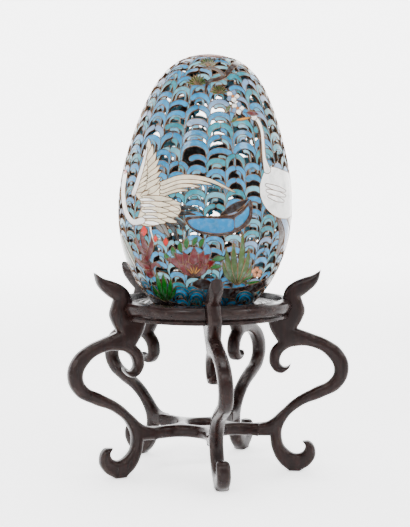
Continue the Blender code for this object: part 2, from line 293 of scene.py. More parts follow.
class NodeTree:
    """A geometry node tree put together in order, with named inputs."""

    def __init__(self, name: str, inputs: dict[str, str]) -> None:
        """Starts a tree that takes and gives one geometry.

        Args:
            name: the tree's name.
            inputs: the kind of each of its other inputs, by its name.
        """
        self.tree = bpy.data.node_groups.new(name, "GeometryNodeTree")
        sockets = self.tree.interface
        sockets.new_socket("Geometry", in_out="OUTPUT", socket_type="NodeSocketGeometry")
        for label, kind in {"Geometry": "Geometry", **inputs}.items():
            sockets.new_socket(label, in_out="INPUT", socket_type=f"NodeSocket{kind}")
        self.entry = self.tree.nodes.new("NodeGroupInput")

    def node(self, kind: str, settings: dict, inputs: dict) -> bpy.types.Node:
        """Adds a node.

        Args:
            kind: the node's type.
            settings: its settings, which are set first.
            inputs: for each socket a value, another node, whose first output is used, or an input's name.

        Returns:
            The node.
        """
        made = self.tree.nodes.new(kind)
        for key, value in settings.items():
            setattr(made, key, value)
        for key, value in inputs.items():
            if isinstance(value, bpy.types.Node):
                self.tree.links.new(value.outputs[0], made.inputs[key])
            elif isinstance(value, str):
                self.tree.links.new(self.entry.outputs[value], made.inputs[key])
            else:
                made.inputs[key].default_value = value
        return made

    def finish(self, last: bpy.types.Node) -> None:
        """Ends the tree: instances are made real and the material is set.

        Args:
            last: the node whose first output is the result.
        """
        real = self.node("GeometryNodeRealizeInstances", {}, {0: last})
        dressed = self.node("GeometryNodeSetMaterial", {}, {"Geometry": real, "Material": "Material"})
        exit_node = self.tree.nodes.new("NodeGroupOutput")
        self.tree.links.new(dressed.outputs[0], exit_node.inputs[0])

    def run(self, name: str, source: bpy.types.Mesh, values: dict) -> bpy.types.Object:
        """Runs the tree on a mesh.

        Args:
            name: the new object's name.
            source: the mesh that the tree reads.
            values: the tree's inputs by name.

        Returns:
            An object with a plain mesh.
        """
        carrier = put_in_scene(name + "_guide", source)
        modifier = carrier.modifiers.new("tree", "NODES")
        modifier.node_group = self.tree
        for item in self.tree.interface.items_tree:
            if item.in_out == "INPUT" and item.name in values:
                modifier[item.identifier] = values[item.name]
        graph = bpy.context.evaluated_depsgraph_get()
        mesh = bpy.data.meshes.new_from_object(carrier.evaluated_get(graph))
        bpy.data.objects.remove(carrier)
        mesh.name = name
        return put_in_scene(name, mesh)


def turning_tree() -> NodeTree:
    """A lathe: an edge mesh of (radius, -height) points is carried round the vertical axis.

    Returns:
        The tree, with the inputs Steps, Guide Radius and Material.
    """
    kinds = {"Steps": "Int", "Guide Radius": "Float", "Material": "Material"}
    tree = NodeTree("turned_on_a_lathe", kinds)
    size = {"Resolution": "Steps", "Radius": "Guide Radius"}
    ring = tree.node("GeometryNodeCurvePrimitiveCircle", {}, size)
    section = tree.node("GeometryNodeMeshToCurve", {}, {"Mesh": "Geometry"})
    tree.finish(tree.node("GeometryNodeCurveToMesh", {}, {"Curve": ring, "Profile Curve": section}))
    return tree


def turned(
    name: str, section: list[Spot], guide: float, steps: int, closed: bool, material: bpy.types.Material
) -> bpy.types.Object:
    """Turns a section on the lathe, round the vertical axis.

    Args:
        name: the new object's name.
        section: (radius, height) pairs.
        guide: the radius of the circle that the section is carried on.
        steps: how many flats the round has.
        closed: whether the section comes back to its start.
        material: what it is made of.

    Returns:
        An object with one welded mesh whose faces point outwards.
    """
    count = len(section)
    profile = bpy.data.meshes.new(name)
    edges = [(i, (i + 1) % count) for i in range(count if closed else count - 1)]
    profile.from_pydata([((r - guide) * MM, -z * MM, 0) for r, z in section], edges, [])
    values = {"Steps": steps, "Guide Radius": guide * MM, "Material": material}
    obj = turning_tree().run(name, profile, values)
    bm = bmesh.new()
    bm.from_mesh(obj.data)
    bmesh.ops.remove_doubles(bm, verts=bm.verts, dist=1e-6)
    bmesh.ops.recalc_face_normals(bm, faces=bm.faces)
    bm.to_mesh(obj.data)
    bm.free()
    return obj


@dataclass(frozen=True)
class Packed:
    """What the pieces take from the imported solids, in millimetres."""

    axis_y: float
    plate_radius: float
    plate_base: float
    plate_top: float
    low: Colour
    high: Colour

    @classmethod
    def read(cls) -> "Packed":
        """Reads the plate's box, which gives the stand's axis, and the whole object's box.

        Returns:
            The measures.
        """
        low, high = (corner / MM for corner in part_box("stand_plate"))
        radius = (high.x - low.x) / 2
        whole = [tuple(v / MM for v in corner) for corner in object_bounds()]
        return cls(high.y - radius, radius, low.z, high.z, whole[0], whole[1])

    def on_axis(self) -> Matrix:
        """Carries what is modelled round the origin to the stand's axis."""
        return Matrix.Translation((0, self.axis_y * MM, 0))


def finished(obj: bpy.types.Object, node: str) -> None:
    """Hands a piece over: it rides on the one body and stands for a solid.

    Args:
        obj: the piece, with its place in its mesh.
        node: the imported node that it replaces.
    """
    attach(obj, "root")
    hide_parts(node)
    LOG.info("%s: %d faces, for %s", obj.name, len(obj.data.polygons), node)


def keep_inside(mesh: bpy.types.Mesh, packed: Packed) -> None:
    """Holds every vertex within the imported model's box, which smooth curves may pass by a hair.

    Args:
        mesh: the mesh, in its place.
        packed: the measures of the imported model.
    """
    spots = np.empty(len(mesh.vertices) * 3)
    mesh.vertices.foreach_get("co", spots)
    spots = np.clip(spots.reshape(-1, 3), np.array(packed.low) * MM, np.array(packed.high) * MM)
    mesh.vertices.foreach_set("co", spots.ravel())


class Knot(Enum):
    """How an outline passes one of its points."""

    SMOOTH = 0
    CORNER = 1
    JOINT = 2


Outline = list[tuple[float, float, Knot]]


def traced(outline: Outline, steps: int) -> np.ndarray:
    """Points along a closed outline, smooth except at its corners and joints.

    Args:
        outline: the outline's knots.
        steps: how many points each curved stretch between two knots gets.

    Returns:
        An array of (x, y) points in order.
    """
    curve = bpy.data.curves.new("outline", "CURVE")
    curve.dimensions = "2D"
    curve.fill_mode = "NONE"
    curve.resolution_u = steps
    spline = curve.splines.new("BEZIER")
    spline.bezier_points.add(len(outline) - 1)
    spline.use_cyclic_u = True
    for knot, (x, y, kind) in zip(spline.bezier_points, outline):
        knot.co = (x, y, 0)
        knot.handle_left_type = knot.handle_right_type = "AUTO" if kind is Knot.SMOOTH else "VECTOR"
    guide = put_in_scene("outline", curve)
    mesh = bpy.data.meshes.new_from_object(guide.evaluated_get(bpy.context.evaluated_depsgraph_get()))
    bpy.data.objects.remove(guide)
    points = np.array([v.co.xy for v in mesh.vertices], float)
    bpy.data.meshes.remove(mesh)
    return points


def enclosed(spots: np.ndarray, loops: list[np.ndarray]) -> np.ndarray:
    """Tells which spots lie within closed loops, where a loop within a loop is a hole.

    Args:
        spots: (x, y) points.
        loops: the loops' (x, y) corners.

    Returns:
        True for each spot within.
    """
    within = np.zeros(len(spots), bool)
    for loop in loops:
        ahead = np.roll(loop, -1, axis=0)
        for (ax, ay), (bx, by) in zip(loop, ahead):
            if ay == by:
                continue
            beside = (spots[:, 1] < ay) != (spots[:, 1] < by)
            crossing = ax + (spots[:, 1] - ay) * (bx - ax) / (by - ay)
            within ^= beside & (spots[:, 0] < crossing)
    return within


@dataclass
class Board:
    """A sawn board with rounded edges, tight and square only where it is joined to a neighbour."""

    name: str
    outlines: list[Outline]
    thickness: float
    fillet: float
    joint_fillet: float = 0.15
    curve_steps: int = 9
    fillet_steps: int = 5
    grid: float = 2.6
    tips: tuple[tuple[float, float, float], ...] = ()
    tip_share: float = 0.30
    room_share: float = 0.85
    run_out: float = 0.6

    def _loop(self, outline: Outline, hole: bool) -> tuple[np.ndarray, np.ndarray]:
        """Traces an outline with the wood on its left.

        Args:
            outline: the outline's knots.
            hole: whether it is a hole in the board.

        Returns:
            The points, and for each edge from a point to the next whether it is a joint's face.
        """
        points = traced(outline, self.curve_steps)
        after = np.roll(points, -1, axis=0)
        area = np.sum(points[:, 0] * after[:, 1] - after[:, 0] * points[:, 1])
        if (area < 0) != hole:
            points = points[::-1]
        joints = np.array([(x, y) for x, y, kind in outline if kind is Knot.JOINT]).reshape(-1, 2)
        apart = np.linalg.norm(points[:, None, :] - joints[None, :, :], axis=2)
        at_joint = (apart < 1e-3).any(axis=1) if len(joints) else np.zeros(len(points), bool)
        return points, at_joint & np.roll(at_joint, -1)

    @staticmethod
    def _room(points: np.ndarray, inward: np.ndarray, others: np.ndarray) -> np.ndarray:
        """Measures how much wood there is behind each point.

        Args:
            points: points of an outline.
            inward: the unit vector into the wood at each.
            others: all the outlines' free points.

        Returns:
            The radius of the widest ball that touches each point from inside the wood.
        """
        gaps = others[None, :, :] - points[:, None, :]
        along = np.einsum("ijk,ik->ij", gaps, inward)
        squared = np.einsum("ijk,ijk->ij", gaps, gaps)
        with np.errstate(divide="ignore", invalid="ignore"):
            radii = np.where(along > 1e-4, squared / (2 * along), 1e3)
        return radii.min(axis=1)

    def _insets(self, loops: list[tuple[np.ndarray, np.ndarray]]) -> list[np.ndarray]:
        """Works out the edge's rounding.

        Args:
            loops: each outline's points and its marks of joints.

        Returns:
            How far, and which way, each point moves across the whole of the rounding.
        """
        free = np.concatenate([p[~(tight | np.roll(tight, 1))] for p, tight in loops])
        insets = []
        for points, tight in loops:
            edge = np.roll(points, -1, axis=0) - points
            length = np.linalg.norm(edge, axis=1)
            normal = np.stack([-edge[:, 1], edge[:, 0]], axis=1) / length[:, None]
            before = np.roll(normal, 1, axis=0)
            middle = normal + before
            middle /= np.maximum(np.linalg.norm(middle, axis=1), 1e-9)[:, None]
            depth = np.minimum(self.fillet, self.room_share * self._room(points, middle, free))
            for _ in range(2):
                for i in range(len(points)):
                    depth[i] = min(depth[i], depth[i - 1] + self.run_out * length[i - 1])
                for i in range(len(points) - 1, -1, -1):
                    n = (i + 1) % len(points)
                    depth[i] = min(depth[i], depth[n] + self.run_out * length[i])
            moves = []
            for i in range(len(points)):
                first = self.joint_fillet if tight[i - 1] else depth[i]
                second = self.joint_fillet if tight[i] else depth[i]
                cross = before[i, 0] * normal[i, 1] - before[i, 1] * normal[i, 0]
                if abs(cross) > 0.35:
                    moves.append(np.linalg.solve([before[i], normal[i]], [first, second]))
                else:
                    moves.append(middle[i] * (first + second) / 2)
            insets.append(np.array(moves))
        return insets

    def _face(self, rims: list[np.ndarray]) -> tuple[list[Vector], list[list[int]], list[list[int]]]:
        """Fills the flat side within the rims, with loose points spread over it.

        Args:
            rims: the outer rim, then those of the holes.

        Returns:
            The corners, the triangles, and for each corner the numbers of the points that it comes from.
        """
        spots = [Vector(p) for rim in rims for p in rim]
        loops, start = [], 0
        for rim in rims:
            loops.append(list(range(start, start + len(rim))))
            start += len(rim)
        rim_points = np.concatenate(rims)
        low, high = rim_points.min(axis=0), rim_points.max(axis=0)
        for x in np.arange(low[0], high[0], self.grid):
            for y in np.arange(low[1], high[1], self.grid):
                if np.linalg.norm(rim_points - (x, y), axis=1).min() > 0.45 * self.grid:
                    spots.append(Vector((x, y)))
        fences = [(loop[k - 1], loop[k]) for loop in loops for k in range(len(loop))]
        result = delaunay_2d_cdt(spots, fences, [], 1, 1e-7, True)
        corners = np.array([tuple(v) for v in result[0]])
        triangles = np.array([face for face in result[2] if len(face) == 3])
        within = enclosed(corners[triangles].mean(axis=1), rims)
        return result[0], triangles[within].tolist(), result[3]

    def _thinning(self, x: float, y: float) -> float:
        """How far the board's thickness is carved down near its tips.

        Args:
            x: the place along the board.
            y: the place across it.

        Returns:
            The share of the thickness that is left there.
        """
        share = 1.0
        for tip_x, tip_y, reach in self.tips:
            near = 1 - min(1.0, math.hypot(x - tip_x, y - tip_y) / reach)
            share = min(share, self.tip_share + (1 - self.tip_share) * math.sqrt(1 - near**2))
        return share

    def mesh(self, place: Matrix) -> bpy.types.Mesh:
        """Builds the board in place.

        Args:
            place: carries the board from its own plane, in metres, to where it belongs.

        Returns:
            The mesh, with its place on the board and its wear stored at each vertex.
        """
        loops = [self._loop(outline, k > 0) for k, outline in enumerate(self.outlines)]
        insets = self._insets(loops)
        bm = bmesh.new()
        rubbed = {}
        turns = [math.pi / 2 * k / self.fillet_steps for k in range(self.fillet_steps, -1, -1)]
        half = self.thickness / 2
        levels = [(1 - math.cos(t), half - self.fillet * (1 - math.sin(t)), t) for t in turns]
        levels += [(share, -height, t) for share, height, t in reversed(levels)]
        sides = {}
        for (points, _), inset in zip(loops, insets):
            rings = []
            for share, height, turn in levels:
                ring = []
                for x, y in points + inset * share:
                    vert = bm.verts.new((x * MM, y * MM, height * MM))
                    rubbed[vert] = math.sin(2 * turn) ** 2
                    ring.append(vert)
                rings.append(ring)
            for upper, lower in zip(rings, rings[1:]):
                for i in range(len(upper)):
                    n = (i + 1) % len(upper)
                    bm.faces.new((upper[i], lower[i], lower[n], upper[n]))
            sides.setdefault("top", []).extend(rings[0])
            sides.setdefault("bottom", []).extend(rings[-1])
        spots, faces, sources = self._face([p + inset for (p, _), inset in zip(loops, insets)])
        for side, height in (("top", half), ("bottom", -half)):
            ring = sides[side]
            verts = []
            for spot, source in zip(spots, sources):
                if source and source[0] < len(ring):
                    verts.append(ring[source[0]])
                else:
                    verts.append(bm.verts.new((spot.x * MM, spot.y * MM, height * MM)))
            for face in faces:
                corners = [verts[k] for k in face]
                if side == "bottom":
                    corners.reverse()
                if len(set(corners)) == 3 and bm.faces.get(corners) is None:
                    bm.faces.new(corners)
        bm.verts.index_update()
        wear = [rubbed.get(vert, 0.0) for vert in bm.verts]
        for vert in bm.verts:
            vert.co.z *= self._thinning(vert.co.x / MM, vert.co.y / MM)
        return stored_mesh(self.name, bm, wear, place)


def stored_mesh(name: str, bm: bmesh.types.BMesh, wear: list[float], place: Matrix) -> bpy.types.Mesh:
    """Turns a mesh in its own board's frame into one in its place.

    Args:
        name: the mesh's name.
        bm: the mesh, which is used up.
        wear: how rubbed each vertex is, from 0 to 1.
        place: carries it to where it belongs.

    Returns:
        A smooth mesh that stores its board places and its wear.
    """
    mesh = bpy.data.meshes.new(name)
    bmesh.ops.recalc_face_normals(bm, faces=bm.faces)
    bm.to_mesh(mesh)
    bm.free()
    board = mesh.attributes.new("board", "FLOAT_VECTOR", "POINT")
    board.data.foreach_set("vector", [c for v in mesh.vertices for c in v.co])
    mesh.attributes.new("rubbed", "FLOAT", "POINT").data.foreach_set("value", wear)
    mesh.transform(place)
    mesh.shade_smooth()
    mesh.set_sharp_from_angle(angle=math.radians(SHARP_DEG))
    return mesh


@dataclass
class Legs:
    """The five scrolled legs, each sawn from one board and rounded along its edges."""

    packed: Packed
    names: tuple[str, ...] = (
        "leg_front", "leg_front_right", "leg_back_right", "leg_back_left", "leg_front_left"
    )
    thickness: float = 8.0
    fillet: float = 3.1
    slot_depth: float = 5.9
    fit_gap: float = 0.3
    belly_radius: float = 85.0
    belly_height: float = 62.0
    foot_radius: float = 54.5
    joint_radius: float = 33.0
    stretcher_height: float = 24.0
    stretcher_thickness: float = 7.4
    front_lean: float = 0.045

    def turn(self, k: int) -> Matrix:
        """Turns the +X direction to the k-th leg, the first at the front."""
        return Matrix.Rotation(2 * math.pi * k / len(self.names) - math.pi / 2, 4, "Z")

    def lean(self, name: str) -> Matrix:
        """Shears the front leg, which was set a little out of true, sideways about the stretcher.

        Args:
            name: the leg's name.

        Returns:
            The shear, which leaves the other legs upright.
        """
        run = self.front_lean if name == self.names[0] else 0.0
        lean = Matrix.Identity(4)
        lean[1][2] = -run
        lean[1][3] = run * self.stretcher_height * MM
        return lean

    def slot_radius(self) -> float:
        """Where the plate's slots end, towards the axis."""
        return self.packed.plate_radius - self.slot_depth

    def outline(self) -> Outline:
        """The leg's outline, each stretch set out from the part that it serves.

        Returns:
            Its knots as (radius, height, kind).
        """
        plain, corner, joint = Knot.SMOOTH, Knot.CORNER, Knot.JOINT
        half = self.stretcher_thickness / 2
        inner = self.slot_radius()
        shelf = self.packed.plate_base - self.fit_gap
        leaf = (self.packed.plate_radius, self.packed.plate_top)
        belly = (self.belly_radius, self.belly_height)
        foot = (self.foot_radius, 0.0)
        stub = (self.joint_radius, self.stretcher_height)

        def run(origin: Spot, points: list[Spot], last: Knot = plain) -> Outline:
            """Smooth points set out from an origin, the last of the given kind."""
            kinds = [plain] * (len(points) - 1) + [last]
            return [(origin[0] + x, origin[1] + y, kind) for (x, y), kind in zip(points, kinds)]

        return (
            run(leaf, [(16.1, 17.0)], corner)
            + run(leaf, [(11.2, 13.9), (5.2, 11.9), (-0.8, 9.0), (-4.3, 5.6)])
            + [(inner, leaf[1] + 0.6, joint), (inner, shelf, joint), (inner - 8.8, shelf, joint)]
            + run((inner, shelf), [(-7.4, -6.2)])
            + run((inner, shelf), [(-2.7, -14.4)], corner)
            + run((inner, shelf), [(-6.4, -18.7), (-7.6, -23.6), (-6.8, -28.4)])
            + run((inner, shelf), [(-1.3, -32.9), (3.9, -30.2)])
            + run((inner, shelf), [(5.3, -26.9)], corner)
            + run((inner, shelf), [(2.4, -28.9), (-0.6, -27.9), (-0.9, -23.4), (2.6, -18.8), (7.6, -17.0)])
            + run(belly, [(-21.1, 11.4), (-12.2, 6.2), (-8.5, -1.8), (-11.6, -7.8), (-19.1, -11.8)])
            + run(stub, [(20.0, 18.4), (13.3, 12.1), (5.4, half + 1.6)])
            + run(stub, [(0.0, half)], joint)
            + run(stub, [(0.0, -half)], joint)
            + run(stub, [(6.6, 0.2 - half)], corner)
            + run(foot, [(-13.5, 12.6), (-9.1, 4.6)])
            + run(foot, [(-3.4, 0.0)], corner)
            + run(foot, [(3.0, 0.0)], corner)
            + run(foot, [(9.4, 4.7), (12.0, 11.2), (8.8, 17.7)])
            + run(foot, [(4.2, 18.0)], corner)
            + run(foot, [(5.8, 14.4), (2.0, 10.5), (-4.6, 12.8), (-7.9, 19.8)])
            + run((self.foot_radius, self.stretcher_height), [(-5.8, 5.4), (3.2, 14.6)])
            + run(belly, [(-14.5, -17.6), (-4.3, -11.4), (0.0, -0.6)])
            + run(belly, [(-3.4, 9.1), (-11.8, 15.6), (-22.0, 19.6)])
            + run((leaf[0], self.packed.plate_base), [(2.6, -6.6)], corner)
            + run((leaf[0], self.packed.plate_base), [(5.6, -1.2), (7.0, 3.6), (5.6, 9.0)])
            + run((leaf[0], self.packed.plate_base), [(4.7, 11.6)], corner)
            + run(leaf, [(8.9, 4.2), (14.0, 9.6)])
        )

    def tips(self) -> tuple[tuple[float, float, float], ...]:
        """The leaf's, the hook's and the foot scroll's tip, each with how far from it the board thins.

        Returns:
            (radius, height, reach) for each tip.
        """
        hook = (self.slot_radius() + 5.3, self.packed.plate_base - self.fit_gap - 26.9)
        return (
            (self.packed.plate_radius + 16.1, self.packed.plate_top + 17.0, 9.0),
            (*hook, 5.0),
            (self.foot_radius + 4.2, 18.0, 6.0),
        )

    def build(self, wood: bpy.types.Material) -> None:
        """Builds each leg in place of its solid.

        Args:
            wood: what it is made of.
        """
        upright = Matrix.Rotation(math.pi / 2, 4, "X")
        for k, name in enumerate(self.names):
            outlines = [self.outline()]
            board = Board(f"carved_{name}", outlines, self.thickness, self.fillet, tips=self.tips())
            mesh = board.mesh(self.packed.on_axis() @ self.turn(k) @ self.lean(name) @ upright)
            keep_inside(mesh, self.packed)
            mesh.materials.append(wood)
            finished(put_in_scene(board.name, mesh), name)


@dataclass
class Stretcher:
    """The star that joins the legs low down, open in the middle."""

    packed: Packed
    legs: Legs
    arm_width: float = 7.4
    fillet: float = 3.0
    hairline: float = 0.03
    root_radius: float = 19.5
    valley_radius: float = 15.5
    hole_radius: float = 9.0

    def outlines(self) -> list[Outline]:
        """Draws the star as it is seen from above.

        Returns:
            Its outer outline and that of its opening.
        """
        outer, hole = [], []
        reach = self.legs.joint_radius - self.hairline
        half_turn = math.pi / len(self.legs.names)
        half = self.arm_width / 2
        arm = (
            (self.root_radius, -half, Knot.SMOOTH),
            (reach, -half, Knot.JOINT),
            (reach, half, Knot.JOINT),
            (self.root_radius, half, Knot.SMOOTH),
        )
        for k in range(len(self.legs.names)):
            turn = self.legs.turn(k)
            for x, y, kind in arm:
                spot = turn @ Vector((x, y, 0))
                outer.append((spot.x, spot.y, kind))
            between = turn @ Matrix.Rotation(half_turn, 4, "Z")
            valley = between @ Vector((self.valley_radius, 0, 0))
            outer.append((valley.x, valley.y, Knot.SMOOTH))
            for side in (turn, between):
                spot = side @ Vector((self.hole_radius, 0, 0))
                hole.append((spot.x, spot.y, Knot.SMOOTH))
        return [outer, hole]

    def build(self, wood: bpy.types.Material) -> None:
        """Builds the star in place of its solid.

        Args:
            wood: what it is made of.
        """
        board = Board("carved_stretcher", self.outlines(), self.legs.stretcher_thickness, self.fillet)
        level = Matrix.Translation((0, 0, self.legs.stretcher_height * MM))
        mesh = board.mesh(self.packed.on_axis() @ level)
        mesh.materials.append(wood)
        finished(put_in_scene(board.name, mesh), "stretcher")


@dataclass
class Egg:
    """The egg's form: its outline and its slight lean.

    Heights are above the floor, and lengths run along the meridian from the bottom.
    """

    packed: Packed
    radius: float = 49.8
    lower_length: float = 66.0
    upper_length: float = 88.3
    shoulder_factor: float = -0.22
    crown_factor: float = 0.40
    sink: float = 5.0
    rim_depth: float = 3.2
    tilt_deg: float = 2.4
    samples: int = 800

    def __post_init__(self) -> None:
        """Works out the meridian."""
        self.base = self.packed.plate_base - self.sink
        self.waist = self.base + self.lower_length
        self.top = self.waist + self.upper_length
        turns = np.linspace(0.0, math.pi, self.samples)
        heights = (self.base + self.top) / 2 - (self.top - self.base) / 2 * np.cos(turns)
        self.heights = heights
        self.radii = np.array([self.radius_at(h) for h in heights])
        steps = np.hypot(np.diff(self.radii), np.diff(self.heights))
        self.lengths = np.concatenate([[0.0], np.cumsum(steps)])

    def radius_at(self, height: float) -> float:
        """How wide the egg is.

        Args:
            height: a height above the floor.

        Returns:
            The radius of its skin there.
        """
        if height < self.waist:
            share = (self.waist - height) / self.lower_length
            return self.radius * math.sqrt(max(0.0, 1 - share**2))
        share = (height - self.waist) / self.upper_length
        fullness = 1 + self.shoulder_factor * share**2 + self.crown_factor * share**4
        return self.radius * math.sqrt(max(0.0, 1 - share**2)) * fullness

    def tilt(self) -> Matrix:
        """Leans the egg in its seat, about the point where the seat's normals meet.

        Returns:
            What carries an upright egg on the origin to its place.
        """
        rim = (self.packed.plate_base + self.packed.plate_top - self.rim_depth) / 2
        flare = self.radius**2 * (self.waist - rim) / self.lower_length**2
        pivot = Vector((0, 0, rim + flare)) * MM
        turn = Matrix.Rotation(math.radians(self.tilt_deg), 4, "Y")
        return self.packed.on_axis() @ Matrix.Translation(pivot) @ turn @ Matrix.Translation(-pivot)

    def ring(self, length: float) -> Spot:
        """A point of the meridian.

        Args:
            length: its distance along the meridian.

        Returns:
            (radius, height).
        """
        return (
            float(np.interp(length, self.lengths, self.radii)),
            float(np.interp(length, self.lengths, self.heights)),
        )

    def length_at(self, height: float) -> float:
        """Distance along the meridian at a height above the floor."""
        return float(np.interp(height, self.heights, self.lengths))


@dataclass
class Plate:
    """The turned plate: a fat bead over a thin band, a sunk floor with rings, and the egg's seat."""

    packed: Packed
    legs: Legs
    egg: Egg
    steps: int = 180
    rim_width: float = 4.2
    rim_depth: float = 3.2
    easing: float = 0.9
    bead_depth: float = 2.6
    bead_step: float = 0.5
    bead_steps: int = 16
    band_height: float = 2.2
    band_set_back: float = 1.9
    band_easing: float = 0.35
    rings: int = 3
    ring_width: float = 2.0
    ring_depth: float = 0.55
    seat_gap: float = 0.6
    seat_steps: int = 4

    def section(self) -> list[Spot]:
        """The plate's section.

        Returns:
            (radius, height) pairs, from the floor's outer edge over the rim and round to the rings.
        """
        base, top = self.packed.plate_base, self.packed.plate_top
        floor = top - self.rim_depth
        back = self.packed.plate_radius - self.bead_depth
        inner = back - self.rim_width
        band_top = base + self.band_height
        band = self.packed.plate_radius - self.band_set_back
        points = [(inner, floor)]
        for k in range(5):
            turn = math.pi / 2 * k / 4
            inset, drop = self.easing * (1 - math.cos(turn)), self.easing * (1 - math.sin(turn))
            points.append((inner + 0.4 + inset, top - drop))
        rise = top - band_top - 2 * self.bead_step
        for k in range(self.bead_steps + 1):
            turn = math.pi * (0.5 - k / self.bead_steps)
            height = band_top + self.bead_step + rise / 2 * (1 + math.sin(turn))
            points.append((back + self.bead_depth * math.cos(turn), height))
        points += [(back + 0.1, band_top + 0.15), (band - self.band_easing, band_top)]
        points += [(band, band_top - self.band_easing), (band, base + self.band_easing)]
        points.append((band - self.band_easing, base))
        for k in range(self.seat_steps + 1):
            height = base + (floor - base) * k / self.seat_steps
            points.append((self.egg.radius_at(height) + self.seat_gap, height))
        seat = points[-1][0]
        spacing = (inner - seat) / (self.rings + 1)
        for ring in range(1, self.rings + 1):
            for k in range(9):
                across = k / 8 - 0.5
                depth = self.ring_depth * math.cos(math.pi * across) ** 2
                points.append((seat + ring * spacing + across * self.ring_width, floor - depth))
        return points

    def _edges(self) -> list[Spot]:
        """The convex edges that hands have rubbed.

        Returns:
            (radius, height) for each.
        """
        inner = self.packed.plate_radius - self.bead_depth - self.rim_width
        return [
            (inner + 0.5, self.packed.plate_top),
            (self.packed.plate_radius, (self.packed.plate_base + self.packed.plate_top) / 2 + 1.5),
            (self.packed.plate_radius - self.band_set_back, self.packed.plate_base),
        ]

    def build(self, wood: bpy.types.Material) -> None:
        """Turns the plate, notches it for the legs and puts it in place of its solid.

        Args:
            wood: what it is made of.
        """
        plate = turned("turned_plate", self.section(), self.egg.radius, self.steps, True, wood)
        mesh = self._notched(plate)
        bpy.data.objects.remove(plate)
        bm = bmesh.new()
        bm.from_mesh(mesh)
        wear = [self._wear(math.hypot(v.co.x, v.co.y) / MM, v.co.z / MM) for v in bm.verts]
        mesh = stored_mesh("turned_plate", bm, wear, self.packed.on_axis())
        mesh.materials.clear()
        mesh.materials.append(wood)
        finished(put_in_scene("moulded_plate", mesh), "stand_plate")

    def _wear(self, radius: float, height: float) -> float:
        """How rubbed a point of the section is, by its distance from the nearest edge."""
        nearest = min(math.dist((radius, height), edge) for edge in self._edges())
        return math.exp(-((nearest / 1.3) ** 2))

    def _notched(self, plate: bpy.types.Object) -> bpy.types.Mesh:
        """Cuts the plate's edge away where each leg's neck passes it.

        Args:
            plate: the turned plate.

        Returns:
            The cut mesh.
        """
        depth = 2 * self.legs.slot_depth
        width = self.legs.thickness + 2 * self.legs.fit_gap
        radius = self.legs.slot_radius() - self.legs.fit_gap + depth / 2
        middle = Matrix.Translation(Vector((radius, 0, self.packed.plate_base)) * MM)
        size = Matrix.Diagonal((depth * MM, width * MM, self.packed.plate_base * MM, 1))
        bm = bmesh.new()
        for k, name in enumerate(self.legs.names):
            place = self.legs.turn(k) @ self.legs.lean(name) @ middle
            bmesh.ops.create_cube(bm, size=1, matrix=place @ size)
        cutter_mesh = bpy.data.meshes.new("notches")
        bm.to_mesh(cutter_mesh)
        bm.free()
        cutter = put_in_scene("notches", cutter_mesh)
        cut = plate.modifiers.new("notches", "BOOLEAN")
        cut.object = cutter
        cut.operation = "DIFFERENCE"
        cut.solver = "EXACT"
        graph = bpy.context.evaluated_depsgraph_get()
        mesh = bpy.data.meshes.new_from_object(plate.evaluated_get(graph))
        bpy.data.objects.remove(cutter)
        return mesh


